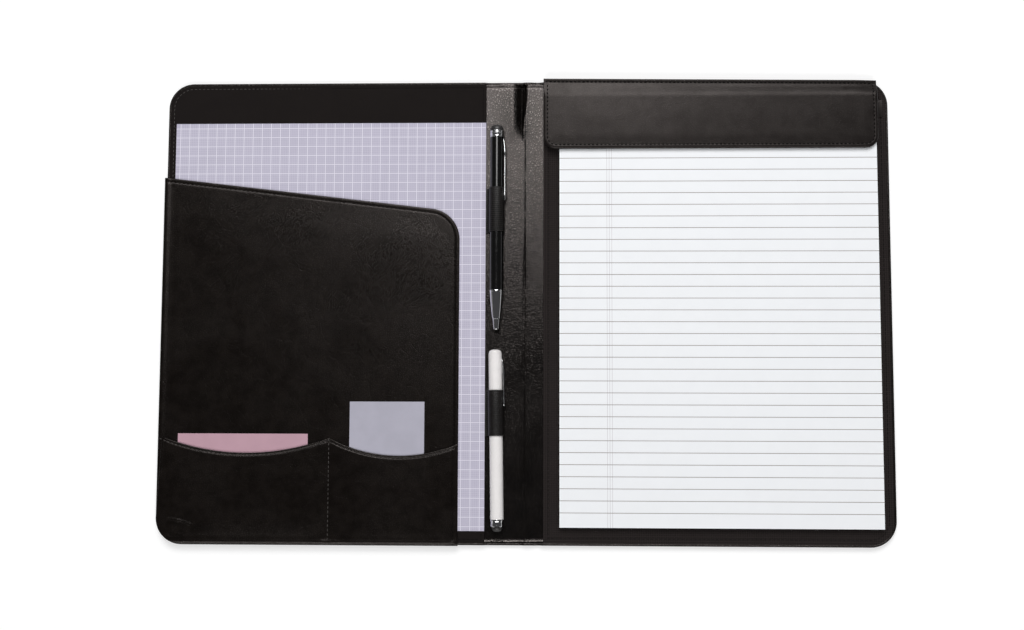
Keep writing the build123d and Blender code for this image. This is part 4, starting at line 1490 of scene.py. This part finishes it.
penPieces = {  # finish, body and closed profile of (radius, height)
    "blackPenCrown": ("darkChrome", "black_pen", dome(54.65, 4.4, 4.6, 0.9)),
    "blackPenRing": ("chrome", "black_pen", [
        (3.7, 50.25), (4.62, 50.25), (4.72, 50.35), (4.74, 51.0), (4.62, 51.2), (4.62, 51.7),
        (4.74, 51.9), (4.76, 53.0), (4.62, 53.2), (4.62, 53.6), (4.74, 53.8), (4.72, 54.5),
        (4.6, 54.65), (3.7, 54.65)]),
    "blackPenUpperBarrel": ("blackLacquer", "black_pen", tube(3.7, 4.6, -2.65, 50.25)),
    "blackPenLowerBarrel": ("blackLacquer", "black_pen_lower", [
        (2.6, -55.35), (4.6, -55.35), (4.6, -2.87), (4.48, -2.75), (3.5, -2.75), (3.5, 7.35),
        (2.6, 7.35)]),
    "blackPenNose": ("chrome", "black_pen_lower", [
        (1.8, -55.35), (4.55, -55.35), (4.66, -55.6), (4.66, -56.4), (4.52, -56.6), (4.40, -59.0),
        (4.12, -63.0), (3.72, -67.5), (3.28, -71.5), (2.84, -74.85), (2.5, -75.2), (2.42, -76.6),
        (2.18, -79.4), (1.92, -81.6), (1.72, -82.1), (1.5, -82.25), (1.2, -82.25), (1.2, -75.85),
        (1.8, -75.85)]),
    "blackPenRefillPoint": ("chrome", "black_pen_refill", [
        (0, -81.25), (0.28, -81.25), (0.45, -81.0), (0.62, -80.2), (0.98, -79.3), (1.0, -70.65),
        (0, -70.65)]),
    "whitePenCrown": ("whiteLacquer", "white_pen", dome(40.4, 2.5, 4.3, 0.5)),
    "whitePenCap": ("whiteLacquer", "white_pen", [
        (3.85, -14.0), (4.45, -14.0), (4.55, -13.88), (4.55, 40.28), (4.45, 40.4), (0, 40.4), (0, 20.6),
        (3.85, 20.6)]),
    "whitePenBarrel": ("whiteLacquer", "white_pen_barrel", tube(3.45, 4.55, -71.1, -14.1)),
    "whitePenGrip": ("innerPlastic", "white_pen_barrel", [
        (2.6, -14.1), (3.6, -14.1), (3.6, 4.9), (3.45, 6.4), (3.0, 8.9), (2.6, 8.9)]),
    "whitePenPoint": ("chrome", "white_pen_barrel", [
        (0, 8.9), (3.0, 8.9), (2.9, 9.6), (2.1, 14.0), (1.25, 17.2), (0.95, 18.1), (0.5, 19.2),
        (0.35, 19.8), (0, 19.9)]),
    "whitePenEndRing": ("chrome", "white_pen_barrel", [
        (0, -75.9), (4.2, -75.9), (4.34, -75.7), (4.38, -74.9), (4.26, -74.6), (4.28, -72.6),
        (4.44, -72.3), (4.52, -71.4), (4.44, -71.1), (0, -71.1)]),
    "whitePenEndPlug": ("darkChrome", "white_pen_barrel", [
        (0, -79.15), (1.6, -79.15), (2.6, -78.8), (3.2, -78.2), (3.6, -77.2), (3.7, -76.2),
        (3.7, -75.9), (0, -75.9)]),
}
for pieceName, (finish, _, profile) in penPieces.items():
    lathe(pieceName, pieceName[:5], profile, finish)


def makeClip(name, pen, top, length, radius):
    tilt = math.radians(pens["clipTilt"])
    outer, thick = pens["clipOuter"], pens["clipThickness"]
    seat, bar, low, knee = radius + 0.03 + thick / 2, outer - thick / 2, top - length, top - 8.5
    run = [(seat, top), (seat + 0.05, top - 1.2), (seat + 0.5, top - 3.2), (bar - 0.12, knee + 0.6),
           (bar, knee - 2.0), (bar, low + 12), (bar, low + 6.5), (bar, low + 3.5),
           (bar + 0.08, low + 1.4), (bar + 0.1, low)]
    radial = (math.cos(tilt), math.sin(tilt))
    path = smoothRun([penPoint(pen, r * radial[0], h, r * radial[1]) for r, h in run], 3)
    side = penPoint(pen, -radial[1], 0, radial[0]) - penPoint(pen, 0, 0, 0)
    sizes = []
    for p in path:
        fromEnd, fromTop = (p - path[-1]).length, (p - path[0]).length
        ball = 0.55 * math.exp(-((fromEnd - 3.4) / 2.4) ** 2) - 0.55 * math.exp(-(fromEnd / 0.8) ** 2)
        wedge = 0.45 * math.exp(-((fromTop - 8.0) / 3.0) ** 2) - 0.35 * math.exp(-(fromTop / 1.5) ** 2)
        sizes.append((0.95 + 0.5 * ball + 0.4 * wedge, 0.95 + ball + wedge))
    sweep(name, path, roundedSection(pens["clipWidth"], thick, 0.40, 4), side, "chrome", sizes=sizes)


makeClip("blackPenClip", "black", 48.75, 42.4, 4.6)
makeClip("whitePenClip", "white", 36.9, 32.5, 4.55)


# Elastic loops: a woven band with ribs round the pen, and its tail sewn down under the lining

loops = {"radius": 5.12, "length": 31.3, "ribPitch": 1.34, "ribRadius": 0.36, "band": 0.36, "tail": 8.3}


def makeRibTree():
    # Ribs side by side along the pen's own axis, which leans by Turn.
    tree, given, out = newGroup(
        "ribbedBand", {"Geometry": "Geometry", "Length": 0.03, "Pitch": 0.001, "Radius": 0.0003,
                       "Turn": 0.0, "Yarn": "Material"}, ("Geometry",), "GeometryNodeTree")
    curve = read(tree, "GeometryNodeMeshToCurve", None, {"Mesh": given["Geometry"]})
    ring = read(tree, "GeometryNodeCurvePrimitiveCircle", None,
                {"Resolution": 6, "Radius": given["Radius"]}, "Curve")
    rib = read(tree, "GeometryNodeCurveToMesh", None,
               {"Curve": curve, "Profile Curve": ring, "Fill Caps": True})
    sine, cosine = calc("SINE", given["Turn"]), calc("COSINE", given["Turn"])
    first = given["Length"] * -0.5 + given["Pitch"] * 0.6
    start, step = [combined(tree, X=length * sine * -1.0, Y=length * cosine)
                   for length in (first, given["Pitch"])]
    line = read(tree, "GeometryNodeMeshLine", {"mode": "OFFSET"},
                {"Count": calc("ROUND", given["Length"] / given["Pitch"]), "Start Location": start,
                 "Offset": step})
    placed = read(tree, "GeometryNodeInstanceOnPoints", None, {"Points": line, "Instance": rib})
    return endTree(out, placed, given["Yarn"])


ribTree = makeRibTree()


def loopRun(pen, count=44):
    # Cross-section of the loop in its pen's own plane: tail, then round the pen and back on the tail.
    radius, tail = loops["radius"], loops["tail"]
    low = -radius
    run = [(-tail, low), (-tail * 0.6, low), (-tail * 0.3, low)]
    for k in range(count + 1):
        angle = math.radians(-90 + 302 * k / count)
        run.append((radius * math.cos(angle), radius * math.sin(angle)))
    run += [(-5.2, low + 1.15), (-6.2, low + 0.55), (-7.2, low + 0.42), (-tail, low + 0.4)]
    return [penPoint(pen, a, 0, u) for a, u in run]


def makeLoop(name, pen):
    run = loopRun(pen)
    lean = pens[pen][1]
    side = penPoint(pen, 0, 1, 0) - penPoint(pen, 0, 0, 0)
    sweep(name, run, roundedSection(loops["length"] - 0.5, loops["band"], 0.16, 2), side, "elasticCore",
          sharp=60)
    edges = [(i, i + 1) for i in range(len(run) - 1)]
    runTree(name + "Ribs", ribTree, run, edges,
            {"Length": loops["length"] * mm, "Pitch": loops["ribPitch"] * mm,
             "Radius": loops["ribRadius"] * mm, "Turn": math.radians(lean),
             "Yarn": materials["elastic"]})


makeLoop("upperPenLoop", "black")
makeLoop("lowerPenLoop", "white")
print("pens and loops made")


# Ground

def makeGround():
    # Flat disc with a low curved wall far away.
    sides, bend = 96, 2.0
    rise = [(ground["radius"] + bend * math.sin(a), bend - bend * math.cos(a))
            for a in (0, 0.4, 0.8, 1.2, 1.5)] + [(ground["radius"] + bend, ground["wall"])]
    turns = [2 * math.pi * i / sides for i in range(sides)]
    points = [(0, 0, 0)] + [(radius * math.cos(a), radius * math.sin(a), height)
                            for radius, height in rise for a in turns]
    faces = []
    for i in range(sides):
        j = (i + 1) % sides
        faces.append((0, 1 + i, 1 + j))
        for a in range(1, 1 + (len(rise) - 1) * sides, sides):
            faces.append((a + i, a + sides + i, a + sides + j, a + j))
    mesh = bpy.data.meshes.new("ground")
    mesh.from_pydata(points, [], faces)
    mesh.materials.append(materials["ground"])
    mesh.polygons.foreach_set("use_smooth", [True] * len(mesh.polygons))
    addObject("ground", mesh)


makeCamera()
makeLamps()
makeGround()


# What each piece rides on and stands for

def snake(name):
    return "".join("_" + letter.lower() if letter.isupper() else letter for letter in name)


rides = {  # body, and the replaced node and the slot where there are any
    "leftLining": ("left_cover", "left_lining", "lining_fabric"),
    "leftLiningStitches": ("left_cover", None, None),
    "leftCoverStitches": ("left_cover", None, None),
    "rightLining": ("right_cover", "right_lining", "lining_fabric"),
    "rightLiningStitches": ("right_cover", None, None),
    "rightCoverStitches": ("right_cover", None, None),
    "documentPocket": ("left_cover", "document_pocket", "pocket_leather"),
    "documentPocketStitches": ("left_cover", None, None),
    "cardPocket": ("left_cover", "card_pocket", "pocket_leather"),
    "cardPocketStitches": ("left_cover", None, None),
    "dividerStitches": ("left_cover", None, None),
    "squaredSheet": ("grid_sheet", "grid_sheet", "squared_paper"),
    "pinkCard": ("pink_card", "pink_card", "pink_card"),
    "greyCard": ("grey_card", "grey_card", "grey_card"),
    "padSheets": ("pad", "pad_sheets", "pad_paper"),
    "padTopSheet": ("pad", None, "pad_paper"),
    "padBacking": ("pad", "pad_backing_card", "greyboard"),
    "padTape": ("pad", "pad_binding_tape", "binding_tape"),
    "padStrap": ("right_cover", "pad_strap", "flap_leather"),
    "flapBacking": ("flap", "flap_backing", "lining_fabric"),
    "blackPenClip": ("black_pen", "black_pen_clip", "chrome"),
    "whitePenClip": ("white_pen", "white_pen_clip", "chrome"),
    "upperPenLoop": ("left_cover", "upper_pen_loop", "elastic"),
    "upperPenLoopRibs": ("left_cover", None, "elastic"),
    "lowerPenLoop": ("left_cover", "lower_pen_loop", "elastic"),
    "lowerPenLoopRibs": ("left_cover", None, "elastic"),
}
for pieceName, (finish, body, _) in penPieces.items():
    rides[pieceName] = (body, snake(pieceName), snake(finish))
rides["blackPenRing"] = ("black_pen", "black_pen_top_ring", "chrome")

for pieceName, (body, node, slot) in rides.items():
    piece = bpy.data.objects[pieceName]
    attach(piece, body)
    if node:
        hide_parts(node)

leftBend, rightBend, flapBend = bends["left"], bends["right"], bends["flap"]
blends = {
    "leftCoverLeather": ("left_cover", "spine", leftBend, ["left_outer_skin"], "cover_leather"),
    "leftInnerLeather": ("left_cover", "spine", leftBend, ["pen_strip"], "inner_leather"),
    "rightCoverLeather": ("spine", "right_cover", rightBend, ["right_outer_skin", "spine_outer_skin"],
                          "cover_leather"),
    "rightInnerLeather": ("spine", "right_cover", rightBend, ["spine_inner_skin"], "inner_leather"),
}
for pieceName, (first, second, (start, end), nodes, slot) in blends.items():
    piece = bpy.data.objects[pieceName]
    start * mm
    end * mm
    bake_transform(piece)
    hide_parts(*nodes)
for piece in (flapLeather, flapStitches):
    flapBend[0] * mm
    flapBend[1] * mm
    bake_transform(piece)
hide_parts("flap_skin", "flap_root")

keptNodes = {
    "left_foam": "padding", "right_foam": "padding", "left_board": "greyboard",
    "right_board": "greyboard", "spine_stiffener": "greyboard", "flap_board": "greyboard",
    "black_pen_twist_sleeve": "innerPlastic", "black_pen_refill_tube": "chrome",
    "white_pen_refill": "innerPlastic",
}
for node, material in keptNodes.items():
    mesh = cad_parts[node].data
    mesh.materials.clear()
    mesh.materials.append(materials[material])
leftOver = [n for n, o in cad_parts.items() if not o.hide_render and n not in keptNodes]
print("nodes still bare:", leftOver)

print("pieces in place")
